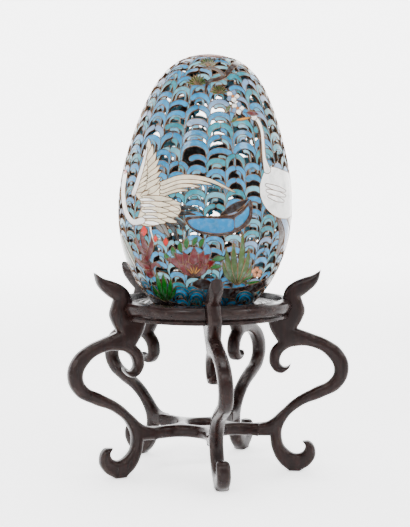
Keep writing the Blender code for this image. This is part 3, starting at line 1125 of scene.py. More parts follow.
@dataclass
class Studio:
    """A pale sweep that rises all round, soft lights and the photograph's camera."""

    packed: Packed
    sweep_radius: float = 2600.0
    sweep_bend: float = 900.0
    sweep_height: float = 2400.0
    target_height: float = 80.0
    distance: float = 746.9
    elevation_deg: float = 7.83
    azimuth_deg: float = -9.66
    lens: float = 87.2
    shift: Spot = (0.0034, 0.133)

    def eye(self) -> Vector:
        """Where the camera stands.

        Returns:
            The point, in millimetres.
        """
        up, round_ = math.radians(self.elevation_deg), math.radians(self.azimuth_deg)
        level = self.distance * math.cos(up)
        return Vector((
            level * math.sin(round_),
            self.packed.axis_y - level * math.cos(round_),
            self.target_height + self.distance * math.sin(up),
        ))

    def aim(self) -> Vector:
        """The point that the camera looks at, in millimetres."""
        return Vector((0, self.packed.axis_y, self.target_height))

    def camera(self) -> None:
        """Sets up the camera at the photograph's viewpoint."""
        data = bpy.data.cameras.new("viewpoint")
        data.lens = self.lens
        data.shift_x, data.shift_y = self.shift
        camera = put_in_scene("viewpoint", data)
        camera.location = self.eye() * MM
        camera.rotation_euler = (self.aim() - self.eye()).to_track_quat("-Z", "Y").to_euler()
        bpy.context.scene.camera = camera

    def sweep(self, paper: bpy.types.Material) -> None:
        """The floor, bent up into a wall all round.

        Args:
            paper: what it is made of.
        """
        bm = bmesh.new()
        section = [(0.0, 0.0), (self.sweep_radius - self.sweep_bend, 0.0)]
        for k in range(1, 13):
            turn = math.pi / 2 * k / 12
            section.append((
                self.sweep_radius - self.sweep_bend * (1 - math.sin(turn)),
                self.sweep_bend * (1 - math.cos(turn)),
            ))
        section.append((self.sweep_radius, self.sweep_height))
        verts = [bm.verts.new((r * MM, 0, z * MM)) for r, z in section]
        edges = [bm.edges.new(pair) for pair in zip(verts, verts[1:])]
        bmesh.ops.spin(
            bm, geom=verts + edges, cent=(0, 0, 0), axis=(0, 0, 1), angle=2 * math.pi, steps=96
        )
        bmesh.ops.remove_doubles(bm, verts=bm.verts, dist=1e-5)
        mesh = bpy.data.meshes.new("sweep")
        bm.to_mesh(mesh)
        bm.free()
        mesh.shade_smooth()
        mesh.materials.append(paper)
        put_in_scene("sweep", mesh)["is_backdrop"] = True

    def light(self, name: str, spot: Colour, size: Spot, watts: float) -> None:
        """A soft white light that faces the egg.

        Args:
            name: the light's name.
            spot: its place, in metres.
            size: its width and height, in metres.
            watts: its power.
        """
        data = bpy.data.lights.new(name, "AREA")
        data.shape = "RECTANGLE"
        data.size, data.size_y = size
        data.energy = watts
        lamp = put_in_scene(name, data)
        lamp.location = spot
        aim = Vector((0, 0, 0.12)) - Vector(spot)
        lamp.rotation_euler = aim.to_track_quat("-Z", "Y").to_euler()

    def build(self) -> None:
        """Sets up the sweep, the lights, the sky and the camera."""
        self.sweep(Paper().material())
        self.light("overhead", (0.0, 0.1, 1.5), (0.9, 0.9), 25.0)
        self.light("window_left", (-0.8, -0.9, 1.05), (0.24, 0.24), 7.5)
        self.light("window_right", (0.95, -0.8, 0.85), (0.24, 0.24), 6.0)
        self.light("strip", (0.0, -0.95, 1.15), (1.3, 0.09), 9.0)
        self.light("back_wash", (0.2, 1.3, 0.9), (1.2, 1.2), 10.0)
        world = bpy.data.worlds.new("sky")
        world.use_nodes = True
        world.node_tree.nodes["Background"].inputs[0].default_value = (1.0, 1.0, 1.0, 1.0)
        world.node_tree.nodes["Background"].inputs[1].default_value = 0.5
        bpy.context.scene.world = world
        self.camera()


class Glaze(Enum):
    """The enamels, as linear base colours."""

    TURQUOISE = (0.010, 0.145, 0.185)
    SKY = (0.008, 0.145, 0.300)
    PALE = (0.085, 0.265, 0.330)
    MIST = (0.110, 0.185, 0.300)
    TEAL = (0.003, 0.060, 0.105)
    AZURE = (0.002, 0.130, 0.310)
    CREAM = (0.600, 0.520, 0.375)
    WHITE = (0.790, 0.780, 0.750)
    GREY = (0.110, 0.105, 0.100)
    SLATE = (0.009, 0.009, 0.010)
    SCARLET = (0.400, 0.006, 0.002)
    ROSE = (0.070, 0.004, 0.005)
    CORAL = (0.070, 0.008, 0.008)
    LEAF = (0.0025, 0.060, 0.003)
    OLIVE = (0.028, 0.056, 0.006)
    MOSS = (0.009, 0.030, 0.004)
    SAGE = (0.060, 0.085, 0.052)
    EARTH = (0.014, 0.0055, 0.0035)
    BARK = (0.028, 0.0115, 0.007)
    GOLD = (0.480, 0.190, 0.012)
    PEACH = (0.430, 0.150, 0.055)


@dataclass(frozen=True)
class Enamel:
    """Glossy enamel, coloured cell by cell, a little cloudy and not quite level."""

    name: str
    attribute: str
    gloss: float = 0.14
    cloudiness: float = 0.12

    def material(self) -> bpy.types.Material:
        """Makes the enamel, which reads each cell's colour under the attribute's name.

        Returns:
            The material.
        """
        bench = Bench(self.name)
        cell = bench.stored(self.attribute, 0)
        clouds = bench.noise(bench.place(), 380.0, 4.0).eased(0.46, 0.72)
        depths = bench.noise(bench.place(), 210.0, 3.0).eased(0.48, 0.70)
        specks = bench.noise(bench.place(), 2400.0, 1.0).eased(0.66, 0.74)
        tone = bench.mix(clouds * self.cloudiness, cell, (0.30, 0.42, 0.46))
        tone = bench.mix(depths * 0.30, tone, (0.004, 0.010, 0.016))
        tone = bench.mix(specks * 0.5, tone, (0.03, 0.015, 0.01))
        swell = bench.noise(bench.place(), 330.0, 1.0)
        return bench.set(
            Base_Color=tone,
            Roughness=self.gloss + specks * 0.3,
            Normal=bench.bump(swell, 0.00007),
            Specular_IOR_Level=0.16,
        )


@dataclass(frozen=True)
class Metal:
    """Copper and gilt brass, tarnished in patches."""

    name: str
    bright: Colour
    tarnish: Colour
    roughness: float
    metallic: float = 1.0

    def material(self) -> bpy.types.Material:
        """Makes the metal.

        Returns:
            The material.
        """
        bench = Bench(self.name, metallic=self.metallic)
        patches = bench.noise(bench.place(), 160.0, 5.0).eased(0.40, 0.66)
        scratches = bench.noise(bench.place(), 1500.0, 2.0, (1.0, 1.0, 0.15))
        return bench.set(
            Base_Color=bench.mix(patches, self.bright, self.tarnish),
            Roughness=self.roughness + patches * 0.15,
            Specular_IOR_Level=0.2,
            Normal=bench.bump(scratches, 0.00004),
        )


def bowed(start: Spot, end: Spot, bow: float, count: int) -> list[Spot]:
    """Points along an arc from start towards end, bowed to its left, without the end.

    Args:
        start: the first point.
        end: the point that it runs to.
        bow: how far its middle stands off the straight line.
        count: the number of points.

    Returns:
        The points.
    """
    dx, dy = end[0] - start[0], end[1] - start[1]
    length = math.hypot(dx, dy)
    points = []
    for k in range(count):
        share = k / count
        off = bow * math.sin(math.pi * share) / length
        points.append((start[0] + dx * share - dy * off, start[1] + dy * share + dx * off))
    return points


def leaf(base: Spot, tip: Spot, width: float, bend: float = 0.0, count: int = 6) -> list[Spot]:
    """A shape pointed at both ends: a leaf, a petal or a blade.

    Args:
        base: one end.
        tip: the other end.
        width: its greatest width.
        bend: how far its middle stands off to the left.
        count: points along each side.

    Returns:
        Its outline.
    """
    return bowed(base, tip, bend - width / 2, count) + bowed(tip, base, -bend - width / 2, count)


def curve_through(knots: list[Spot], step: float, closed: bool = False) -> list[Spot]:
    """Points along a smooth curve through knots.

    Args:
        knots: the points that it passes.
        step: the distance kept between its points.
        closed: whether it comes back to its start.

    Returns:
        The points, the last knot included on an open curve.
    """
    count = len(knots)
    spans = count if closed else count - 1
    points = []
    for i in range(spans):
        if closed:
            a, b, c, d = (knots[(i + k) % count] for k in (-1, 0, 1, 2))
        else:
            a, b, c, d = (knots[min(max(i + k, 0), count - 1)] for k in (-1, 0, 1, 2))
        pieces = max(1, round(math.dist(b, c) / step))
        for k in range(pieces):
            t = k / pieces
            points.append(tuple(
                0.5 * (2 * b[n] + (c[n] - a[n]) * t + (2 * a[n] - 5 * b[n] + 4 * c[n] - d[n]) * t**2
                       + (3 * b[n] - a[n] - 3 * c[n] + d[n]) * t**3)
                for n in (0, 1)
            ))
    if not closed:
        points.append(knots[-1])
    return points


def ribbon(path: list[Spot], widths: list[float]) -> list[Spot]:
    """A band along a path, rounded at an end that is wide.

    Args:
        path: its middle line.
        widths: its full widths, spread evenly over the path.

    Returns:
        Its outline.
    """
    line = np.array(path)
    ahead = np.gradient(line, axis=0)
    ahead /= np.maximum(np.linalg.norm(ahead, axis=1), 1e-9)[:, None]
    side = np.stack([-ahead[:, 1], ahead[:, 0]], axis=1)
    half = np.interp(np.linspace(0, 1, len(line)), np.linspace(0, 1, len(widths)), widths)[:, None] / 2
    left, right = line + side * half, line - side * half

    def cap(k: int, way: float) -> list[Spot]:
        """Points round an end: three where it is wide, and one where it is thin."""
        turns = (0.0,) if half[k, 0] < 0.35 else (-math.pi / 4, 0.0, math.pi / 4)
        ways = [ahead[k] * math.cos(t) + side[k] * math.sin(t) for t in turns]
        return [tuple(line[k] + way * half[k, 0] * toward) for toward in ways]

    return [tuple(p) for p in right] + cap(-1, 1.0) + [tuple(p) for p in left[::-1]] + cap(0, -1.0)


def feather(base: Spot, tip: Spot, width: float, bend: float = 0.0) -> list[Spot]:
    """A feather: a band that is fullest past its middle and rounded at its tip."""
    return ribbon(bowed(base, tip, bend, 6) + [tip], [0.55 * width, 0.9 * width, width, 0.5 * width])


def around(centre: Spot, radius: float, turn: float) -> Spot:
    """The point at a distance from a centre, at a turn in radians."""
    return centre[0] + radius * math.cos(turn), centre[1] + radius * math.sin(turn)


def disc(centre: Spot, radius: float, sides: int = 9) -> list[Spot]:
    """A round cell."""
    return [around(centre, radius, 2 * math.pi * k / sides) for k in range(sides)]


@dataclass
class Cell:
    """One enamel cell on the unrolled skin: (distance round the waist, distance up the meridian).

    Its colour fades to that of its foot, and its inner face is dark where it backs a picture: partly
    counter enamel, partly painted shade of the egg's dim inside.
    """

    outline: np.ndarray
    colour: Colour
    foot: Colour
    backed: bool = False


@dataclass
class Skin:
    """The egg's skin unrolled, with the photograph's side in its middle."""

    egg: Egg
    studio: Studio
    low_radius: float = 10.0
    high_radius: float = 12.6

    def __post_init__(self) -> None:
        """Works out the skin's limits and the line of sight."""
        radii, lengths = self.egg.radii, self.egg.lengths
        self.half_round = math.pi * self.egg.radius
        self.low = float(next(s for r, s in zip(radii, lengths) if r >= self.low_radius))
        self.high = float(next(s for r, s in zip(radii[::-1], lengths[::-1]) if r >= self.high_radius))
        self.facing = math.radians(self.studio.azimuth_deg)
        self.tilt = self.egg.tilt()
        self.untilt = np.array(self.tilt.inverted())
        self.eye = np.array(self.studio.eye())
        ahead = (self.studio.aim() - self.studio.eye()).normalized()
        right = ahead.cross(Vector((0, 0, 1))).normalized()
        self.right, self.up = np.array(right), np.array(right.cross(ahead))
        self.middle = np.array((0, self.egg.packed.axis_y, self.egg.waist))

    def seen_at(self, spot: Spot) -> Spot:
        """The place on the unrolled skin of a spot of the picture.

        Args:
            spot: (right, up) as the camera sees it, in the plane through the middle of the egg's waist.

        Returns:
            (distance round the waist, distance up the meridian).
        """
        target = self.middle + spot[0] * self.right + spot[1] * self.up
        ray = (target - self.eye) / np.linalg.norm(target - self.eye)
        start = np.linalg.norm(target - self.eye)
        low, high = start - 75.0, start + 15.0
        for _ in range(3):
            reach = np.linspace(low, high, 31)
            points = (self.eye + reach[:, None] * ray) * MM
            local = (points @ self.untilt[:3, :3].T + self.untilt[:3, 3]) / MM
            skin_radii = np.interp(local[:, 2], self.egg.heights, self.egg.radii)
            outside = np.hypot(local[:, 0], local[:, 1]) - skin_radii
            inner = np.flatnonzero(outside < 0)
            k = int(inner[0]) if len(inner) else int(outside.argmin())
            low, high = reach[max(k - 1, 0)], reach[min(k + 1, 30)]
            if not len(inner):
                break
        x, y, z = local[k]
        beyond = float(outside[k]) * math.copysign(1.0, spot[0]) if not len(inner) else 0.0
        azimuth = math.atan2(x, -y) - self.facing
        return azimuth * self.egg.radius + beyond, float(np.interp(z, self.egg.heights, self.egg.lengths))

    def point(self, across: float, along: float, lift: float = 0.0) -> Vector:
        """Puts a point of the unrolled skin in its place.

        Args:
            across: its distance round the waist.
            along: its distance up the meridian.
            lift: how far it stands off the skin.

        Returns:
            The point, in metres.
        """
        radius, height = self.egg.ring(along)
        ahead_radius, ahead_height = self.egg.ring(along + 0.5)
        behind_radius, behind_height = self.egg.ring(along - 0.5)
        rise = max(math.hypot(ahead_radius - behind_radius, ahead_height - behind_height), 1e-6)
        radius += lift * (ahead_height - behind_height) / rise
        height -= lift * (ahead_radius - behind_radius) / rise
        azimuth = across / self.egg.radius + self.facing
        upright = Vector((radius * math.sin(azimuth), -radius * math.cos(azimuth), height))
        return self.tilt @ (upright * MM)


@dataclass(frozen=True)
class Belt:
    """A belt of the egg with plumes of one size, between two heights above the waist."""

    low: float
    high: float
    columns: int
    row: float
    crown: float
    rise: float


@dataclass
class Plumes:
    """The ground of the egg: columns of plumes that curl over like waves, open beneath their crowns."""

    skin: Skin
    belts: tuple[Belt, ...] = (
        Belt(72.0, 92.0, 12, 6.4, 3.0, 4.4),
        Belt(30.0, 72.0, 20, 6.9, 3.3, 5.4),
        Belt(-90.0, 30.0, 28, 6.2, 3.0, 4.5),
    )
    merge_below: float = 5.0
    stem: float = 0.95
    seed: int = 11

    def cells(self) -> list[Cell]:
        """The plumes, from the top downwards, so that each lies over the feet of the one above.

        Returns:
            The cells, from the lowest to the uppermost.
        """
        chance = random.Random(self.seed)
        egg = self.skin.egg
        made = []
        for belt in self.belts:
            low = max(egg.length_at(egg.waist + belt.low), self.skin.low - belt.row)
            high = min(egg.length_at(egg.waist + belt.high), self.skin.high + belt.row)
            offsets = [chance.uniform(-0.2, 0.2) + 0.5 * (k % 2) for k in range(belt.columns)]
            for j in range(int((high - low) / belt.row), -1, -1):
                for k in range(belt.columns):
                    along = low + (j + offsets[k] + chance.uniform(-0.08, 0.08)) * belt.row
                    radius = egg.ring(along + belt.rise / 2)[0]
                    if radius < 0.7 * self.skin.high_radius:
                        continue
                    step = 1
                    while 2 * math.pi * radius * step / belt.columns < self.merge_below and step < 4:
                        step *= 2
                    if k % step == 0:
                        share = (k + step / 2) / belt.columns
                        made += self._plume(chance, belt, share, step, along, radius)
        return made

    def _plume(
        self, chance: random.Random, belt: Belt, share: float, step: int, along: float, radius: float
    ) -> list[Cell]:
        """One column's plume at one row.

        Args:
            chance: the source of its variety.
            belt: the belt that it belongs to.
            share: where its middle is, as a share of the way round.
            step: how many columns it spans.
            along: its springing line on the meridian.
            radius: the egg's radius there.

        Returns:
            Its cells.
        """
        half = math.pi * radius * step / belt.columns * chance.uniform(0.97, 1.05)
        rise = belt.rise * chance.uniform(0.86, 1.14)
        crown = belt.crown * chance.uniform(0.85, 1.15)
        shape = chance.random()
        colour = self._colour(chance, along)
        if shape < 0.36:
            bands = [(1.0, -1, crown, 0.0)]
        elif shape < 0.58:
            bands = [(0.76, -1, crown, 0.0)]
        elif shape < 0.80:
            bands = [(0.76, 1, crown, 0.0)]
        else:
            bands = [(0.42, -1, 0.9 * crown, 0.0), (0.42, 1, 0.9 * crown, 0.0)]
        if chance.random() < 0.60:
            reach, side, _, _ = bands[0]
            inner = 0.62 * crown
            bands.append((reach * chance.uniform(0.75, 1.0), side, inner, (crown + inner) / 2))
        if chance.random() < 0.40 and shape < 0.8:
            bands.append((0.55, chance.choice((-1, 1)), 0.5 * crown, 0.42 * half + 0.9))
        cells = []
        for number, (reach, side, thick, inset) in enumerate(bands):
            path = [(side * x, y) for x, y in self._path(belt, half, rise, reach, inset)]
            stem = self.stem * (1.0 if inset == 0.0 else 0.8)
            widths = [stem, stem, 0.62 * thick, thick, thick]
            widths += [thick, 0.62 * thick, stem, stem] if reach > 0.95 else [1.08 * thick]
            outline = np.array(ribbon(path, widths))
            outline[:, 0] *= self.skin.egg.radius / radius
            outline[:, 0] += (2 * share - 1) * self.skin.half_round
            outline[:, 1] += along
            tint = colour if inset == 0.0 else self._colour(chance, along)
            tint = self._foot(tint) if number == 1 and inset > 0.0 else tint
            cells.append(Cell(outline, tint, self._foot(tint)))
        return cells

    def _path(self, belt: Belt, half: float, rise: float, reach: float, inset: float) -> list[Spot]:
        """The middle line of a plume, from its left foot up over its crown.

        Args:
            belt: the belt that it belongs to.
            half: half the width of its column.
            rise: the height of its crown.
            reach: how far it goes over, from 0 to 1 at its right foot.
            inset: how far it lies within the outermost band.

        Returns:
            The points, from the column's middle at the springing line.
        """
        edge = half + 0.1 - self.stem / 2 - inset
        rise = max(rise - inset, 0.8)
        legs = (1.05, 0.7, 0.35) if inset == 0.0 else (0.5, 0.25)
        path = [(-edge - 0.3 * share, -belt.row * share) for share in legs]
        count = max(4, round(9 * reach))
        for k in range(count + 1):
            turn = math.pi * (1 - reach * k / count)
            path.append((edge * math.cos(turn), rise * math.sin(turn) * 0.86))
        if reach > 0.95:
            path += [(edge, -belt.row * share) for share in reversed(legs)]
        return path

    @staticmethod
    def _foot(colour: Colour) -> Colour:
        """The paler, greener blue that a plume's colour fades to at its foot."""
        return tuple(0.40 * part + 0.60 * pale for part, pale in zip(colour, Glaze.PALE.value))

    def _colour(self, chance: random.Random, along: float) -> Colour:
        """A blue for one plume, deeper low down and paler towards the top.

        Args:
            chance: the source of its variety.
            along: its place on the meridian.

        Returns:
            The colour.
        """
        height = self.skin.egg.ring(along)[1]
        low = height < self.skin.egg.waist - 42
        high = (Glaze.TURQUOISE,) * 2 + (Glaze.SKY,) * 4 + (Glaze.PALE, Glaze.MIST)
        choices = (Glaze.TEAL, Glaze.TURQUOISE, Glaze.SKY) if low else high
        tone = chance.uniform(0.78, 1.12)
        return tuple(tone * part for part in chance.choice(choices).value)


@dataclass
class Pictures:
    """The enamelled figures, each drawn as the camera sees it, round the middle of the egg's waist."""

    skin: Skin
    seed: int = 5

    def __post_init__(self) -> None:
        """Starts with a bare skin."""
        self.chance = random.Random(self.seed)
        self.drawn: list[Cell] = []

    def add(self, glaze: Glaze, *outlines: list[Spot]) -> None:
        """Puts cells of one enamel over what is already there.

        Args:
            glaze: their enamel.
            outlines: their outlines as they are seen.
        """
        for outline in outlines:
            placed = np.array([self.skin.seen_at(spot) for spot in outline])
            tone = self.chance.uniform(0.86, 1.08)
            colour = tuple(tone * part for part in glaze.value)
            self.drawn.append(Cell(placed, colour, tuple(0.80 * part for part in colour), True))

    def cells(self) -> list[Cell]:
        """All the figures of the photograph's side, then a plainer choice of them on the far side.

        Returns:
            The cells, from the lowest to the uppermost.
        """
        for draw in (
            self.ground, self.waves, self.coral, self.sage_leaf, self.grasses, self.lotus,
            self.lake, self.flying_crane, self.standing_crane, self.pine,
        ):
            draw()
        near, self.drawn = self.drawn, []
        for draw in (self.hill, self.ground, self.grasses, self.lotus, self.flying_crane, self.pine):
            draw()
        for cell in self.drawn:
            cell.outline[:, 0] += self.skin.half_round
        return self.drawn + near

    def hill(self) -> None:
        """A dark hill with paler ridges, for the middle of the far side."""
        ridge = [(-30, 16), (-26, 27), (-17, 33), (-9, 41), (2, 37), (9, 43), (18, 36), (25, 24), (30, 14)]
        ridge += [(14, 12), (-2, 15), (-16, 12)]
        self.add(Glaze.EARTH, curve_through(ridge, 2.5, closed=True))
        ridges = (((-22, 17), (-10, 36)), ((-6, 18), (4, 33)), ((8, 18), (12, 38)), ((18, 17), (20, 31)))
        for start, end in ridges:
            self.add(Glaze.BARK, leaf(start, end, 6.0, 1.2))

    def flying_crane(self) -> None:
        """A crane with one wing raised and one swept back, its neck in an S and its tail dark."""
        for start, middle, end, width in (
            ((-21, -1), (-9, 1.6), (-3.5, 0.4), 2.6),
            ((-20, -3), (-11, -1.8), (-4.5, -2.6), 2.6),
            ((-20, -5), (-13, -7.5), (-10, -12.5), 2.8),
            ((-22, -6), (-17, -11), (-15, -17.5), 2.8),
        ):
            self.add(Glaze.SLATE, ribbon(curve_through([start, middle, end], 1.5), [width, width, 0.5]))
        for start, end in (((-25, -6), (-20, -15)), ((-23, -4), (-15, -8)), ((-28, -7), (-23, -13))):
            self.add(Glaze.GREY, feather(start, end, 2.6))
        self.add(Glaze.WHITE, ribbon([(-30.8, -8), (-30, -13), (-28.4, -18)], [1.4, 1.0, 1.0]))
        body = [(-39.5, 10.5), (-35.5, 17), (-30, 20), (-24.5, 16), (-21, 9), (-14.5, 4), (-13, -1)]
        body += [(-18, -5.5), (-25, -8), (-31, -9.5), (-36.5, -8), (-37.5, -3.5), (-35.5, 3)]
        self.add(Glaze.CREAM, curve_through(body, 2.0, closed=True))
        for start, tip in (
            ((-33.2, 27.0), (-31.4, 41.8)), ((-34.4, 23.6), (-29.0, 37.8)), ((-35.4, 20.6), (-26.8, 34.0)),
            ((-36.4, 17.8), (-25.2, 30.2)), ((-37.2, 15.0), (-24.4, 26.4)), ((-38.0, 12.6), (-24.0, 22.8)),
            ((-38.6, 10.6), (-24.0, 19.2)), ((-36.0, 8.6), (-23.8, 15.8)),
        ):
            self.add(Glaze.CREAM, leaf(start, tip, 3.6, -0.8))
            middle = ((start[0] + tip[0]) / 2 - 1.2, (start[1] + tip[1]) / 2 - 0.6)
            self.add(Glaze.CREAM, leaf((start[0] - 0.6, start[1] - 0.6), middle, 2.8, -0.5))
        edge = [(-40.2, 9.5), (-37.6, 17.0), (-34.8, 26.0), (-32.4, 36.0)]
        self.add(Glaze.WHITE, ribbon(curve_through(edge, 2.0), [2.6, 2.4, 2.0, 0.8]))
        sweep = [
            ([(-24, 15.2), (-12, 19), (3, 17.4), (18.6, 10.2)], [2.6, 2.9, 2.3, 0.4]),
            ([(-24, 12.8), (-14, 16.4), (-4, 16.4), (5, 14.6)], [2.6, 2.7, 2.4, 0.6]),
            ([(-24, 10.6), (-15, 13.6), (-8, 14.2), (-2, 13.4)], [2.6, 2.6, 2.2, 0.6]),
            ([(-24, 8.6), (-18, 10.8), (-13, 11.6), (-9, 11.4)], [2.6, 2.5, 2.0, 0.6]),
        ]
        for path, widths in reversed(sweep):
            self.add(Glaze.CREAM, ribbon(curve_through(path, 1.6), widths))
        for k in range(4):
            x, y = -25.0 + 0.4 * k, 5.8 - 3.5 * k
            self.add(Glaze.CREAM, feather((x, y), (x + 11.5 - 1.2 * k, y - 2.2), 3.0))
        for k in range(5):
            x, y = -34.5 + 0.6 * k, 7.5 - 3.3 * k
            self.add(Glaze.CREAM, feather((x, y), (x + 16 - 1.6 * k, y - 1.4), 3.3))
            self.add(Glaze.WHITE, feather((x - 1.6, y - 1.4), (x + 6, y - 2.2), 2.6))
        neck = [(-35.5, -6), (-40.2, -7), (-43.8, -3), (-45.6, 4), (-46.2, 11), (-45.6, 17), (-45.0, 21)]
        self.add(Glaze.WHITE, ribbon(curve_through(neck, 1.5), [4.2, 3.0, 2.6, 2.4, 2.4, 2.6]))
        self.add(Glaze.SCARLET, leaf((-46.4, 20.8), (-44.0, 23.2), 1.8))
        self.add(Glaze.GOLD, leaf((-45.4, 22.4), (-45.8, 27.5), 1.2))
        for (x, y), size in (((-34.2, -12.4), 2.6), ((-27.6, -16.6), 1.7), ((-21.6, -18.6), 2.1)):
            self.add(Glaze.SCARLET, leaf((x, y + 1.4 * size), (x, y - 1.2 * size), 1.5 * size))

    def standing_crane(self) -> None:
        """A crane at the right edge, its long neck up and its beak towards the middle."""
        for start, middle, end, glaze in (
            ((43, -2), (45.5, -14), (42.5, -25), Glaze.BARK),
            ((45, -2), (48.5, -12), (46.5, -23), Glaze.MIST),
            ((49, -2), (52, -12), (50, -22), Glaze.GREY),
        ):
            self.add(glaze, ribbon(curve_through([start, middle, end], 1.8), [3.2, 3.4, 1.2]))
        body = [(35.6, 22.6), (39.5, 25), (45, 23.5), (51, 20), (54, 12), (54, 3), (50, -4), (45.5, -5)]
        body += [(40, -2.5), (35.6, 2), (33, 8), (32.8, 15)]
        self.add(Glaze.WHITE, curve_through(body, 2.0, closed=True))
        for start, end in (((36.5, 14.5), (47, 11)), ((37.0, 11.2), (47, 8.2)), ((38, 8), (46, 5.2))):
            self.add(Glaze.WHITE, feather(start, end, 3.0))
        neck = [(37, 23), (35.2, 30), (34.6, 38), (33.8, 46), (31.6, 51.6), (29.4, 53.4)]
        dark = [(x - 1.7, y) for x, y in neck[:5]]
        self.add(Glaze.SLATE, ribbon(curve_through(dark, 1.8), [0.9, 0.9, 0.8]))
        self.add(Glaze.WHITE, ribbon(curve_through(neck, 1.6), [4.2, 1.9, 1.7, 1.8, 2.3]))
        self.add(Glaze.WHITE, disc((29.3, 53.6), 1.9))
        self.add(Glaze.CORAL, leaf((32.0, 55.2), (24.8, 56.4), 2.8))
        self.add(Glaze.GOLD, leaf((28.2, 53.6), (17.6, 51.6), 1.6))

    def lake(self) -> None:
        """A crescent of water with a dark bank that curls up at its right end."""
        bank = [(-10.5, -5.0), (-6, -11.4), (5, -14.6), (17, -13.6), (26, -8.2), (28.4, -1), (27.4, 6)]
        bank += [(24.5, 2.6), (18, -2.4), (7, -3.6), (-4, -3.6)]
        self.add(Glaze.BARK, curve_through(bank, 2.0, closed=True))
        self.add(Glaze.EARTH, leaf((9.5, -3.4), (26.6, 6.4), 4.6))
        water = [(-9, -6.2), (-4.6, -11.1), (6, -13.5), (14.4, -12.8)]
        water += [(17.7, -11), (17.3, -5.4), (7, -4.8), (-2, -4.7)]
        self.add(Glaze.AZURE, curve_through(water, 2.0, closed=True))
        pool = [(18.5, -10.4), (23.2, -7.7), (26.5, -2.4), (26.1, 2.4), (22.2, -1.9), (18.3, -4.4)]
        self.add(Glaze.SKY, curve_through(pool, 2.0, closed=True))

    def pine(self) -> None:
        """A crooked pine branch with fans of needles and pale blossom."""
        branch = [(21, 86), (16.4, 82.4), (12.6, 77.6), (8, 75.4), (3, 74), (1.2, 68.4)]
        self.add(Glaze.BARK, ribbon(curve_through(branch, 1.5), [3.2, 3.0, 2.4, 2.0, 1.0]))
        self.add(Glaze.BARK, ribbon(curve_through([(12, 78), (7, 81.5), (0, 82)], 1.5), [2.0, 1.6, 0.8]))
        for fan, reach in (((-3.6, 72.2), 6.6), ((9.0, 67.2), 5.6), ((2.6, 83.2), 5.6)):
            for k in range(9):
                tip = around(fan, reach, math.radians(15 + 150 * k / 8))
                self.add(Glaze.MOSS if k % 2 else Glaze.OLIVE, leaf(fan, tip, 1.5, count=3))
        for heart in ((17.0, 65.7), (19.8, 58.8)):
            for k in range(5):
                tip = around(heart, 4.2, 2 * math.pi * k / 5)
                self.add(Glaze.MIST if k % 2 else Glaze.WHITE, leaf(heart, tip, 3.4, count=4))
            self.add(Glaze.PEACH, disc(heart, 0.9, 6))
        self.add(Glaze.OLIVE, leaf((16, 61), (12.5, 56), 2.0), leaf((20, 54), (16, 50.5), 2.0))

    def coral(self) -> None:
        """A dull red branching growth at the left."""
        for path, widths in (
            ([(-30.4, -37), (-33.2, -29), (-33.8, -21), (-36.2, -12.8)], [4.6, 4.4, 3.4, 1.2]),
            ([(-33.0, -29), (-30.2, -22.5), (-29.2, -15.6)], [3.2, 3.0, 1.0]),
            ([(-33.6, -25), (-37.4, -20.5), (-38.8, -16)], [2.8, 2.2, 0.8]),
            ([(-31.4, -34), (-27.4, -31), (-25.0, -32.6)], [3.2, 2.6, 1.0]),
            ([(-31.8, -33), (-36.0, -31.2), (-38.8, -27.5)], [3.0, 2.2, 0.8]),
        ):
            self.add(Glaze.CORAL, ribbon(curve_through(path, 1.6), widths))

    def sage_leaf(self) -> None:
        """A long grey-green leaf at the left edge."""
        self.add(Glaze.SAGE, leaf((-38.6, -34), (-47.4, -13), 7.0, 1.5, 9))
        vein = [(-39.4, -32), (-43.6, -23.5), (-46.8, -15)]
        self.add(Glaze.WHITE, ribbon(curve_through(vein, 2.0), [0.7, 0.7, 0.4]))

    def lotus(self) -> None:
        """A dark red lotus with a yellow heart, green leaves and one blue one."""
        for start, end, width in (
            ((-15.6, -27.5), (-18.0, -20.6), 3.2), ((-12.6, -25), (-13.4, -18.2), 3.0),
            ((-9.6, -23), (-9.2, -15.6), 3.4), ((-6.2, -21), (-3.2, -15.4), 3.0),
            ((-2.0, -22), (0.6, -16.0), 3.0), ((4.6, -29), (13.4, -27.6), 3.6),
            ((4.0, -33.6), (11.2, -32.4), 3.0), ((-18.6, -30), (-22.6, -24.4), 2.8),
        ):
            self.add(Glaze.LEAF, leaf(start, end, width, 0.4, 4))
        self.add(Glaze.SKY, leaf((2.6, -30), (1.8, -18.6), 5.2))
        heart = (-5.4, -38.4)
        petals = [
            ((-21.4, -28.0), -2.2), ((7.2, -29.6), 2.0), ((-17.0, -24.6), -1.6), ((4.2, -25.2), 1.4),
            ((-11.8, -24.0), -0.6), ((0.4, -23.6), 0.6), ((-5.2, -21.2), 0.0),
        ]
        for tip, bend in petals:
            self.add(Glaze.ROSE, leaf(heart, tip, 6.4, bend, 7))
        for tip in ((-14.2, -31.0), (3.4, -31.6), (-9.6, -29.4), (-1.2, -29.6)):
            self.add(Glaze.ROSE, leaf(heart, tip, 5.0, 0.0, 5))
        for k in range(5):
            tip = around(heart, 7.0, math.radians(50 + 20 * k))
            self.add(Glaze.GOLD, leaf((heart[0], heart[1] + 0.6), tip, 0.8, count=3))

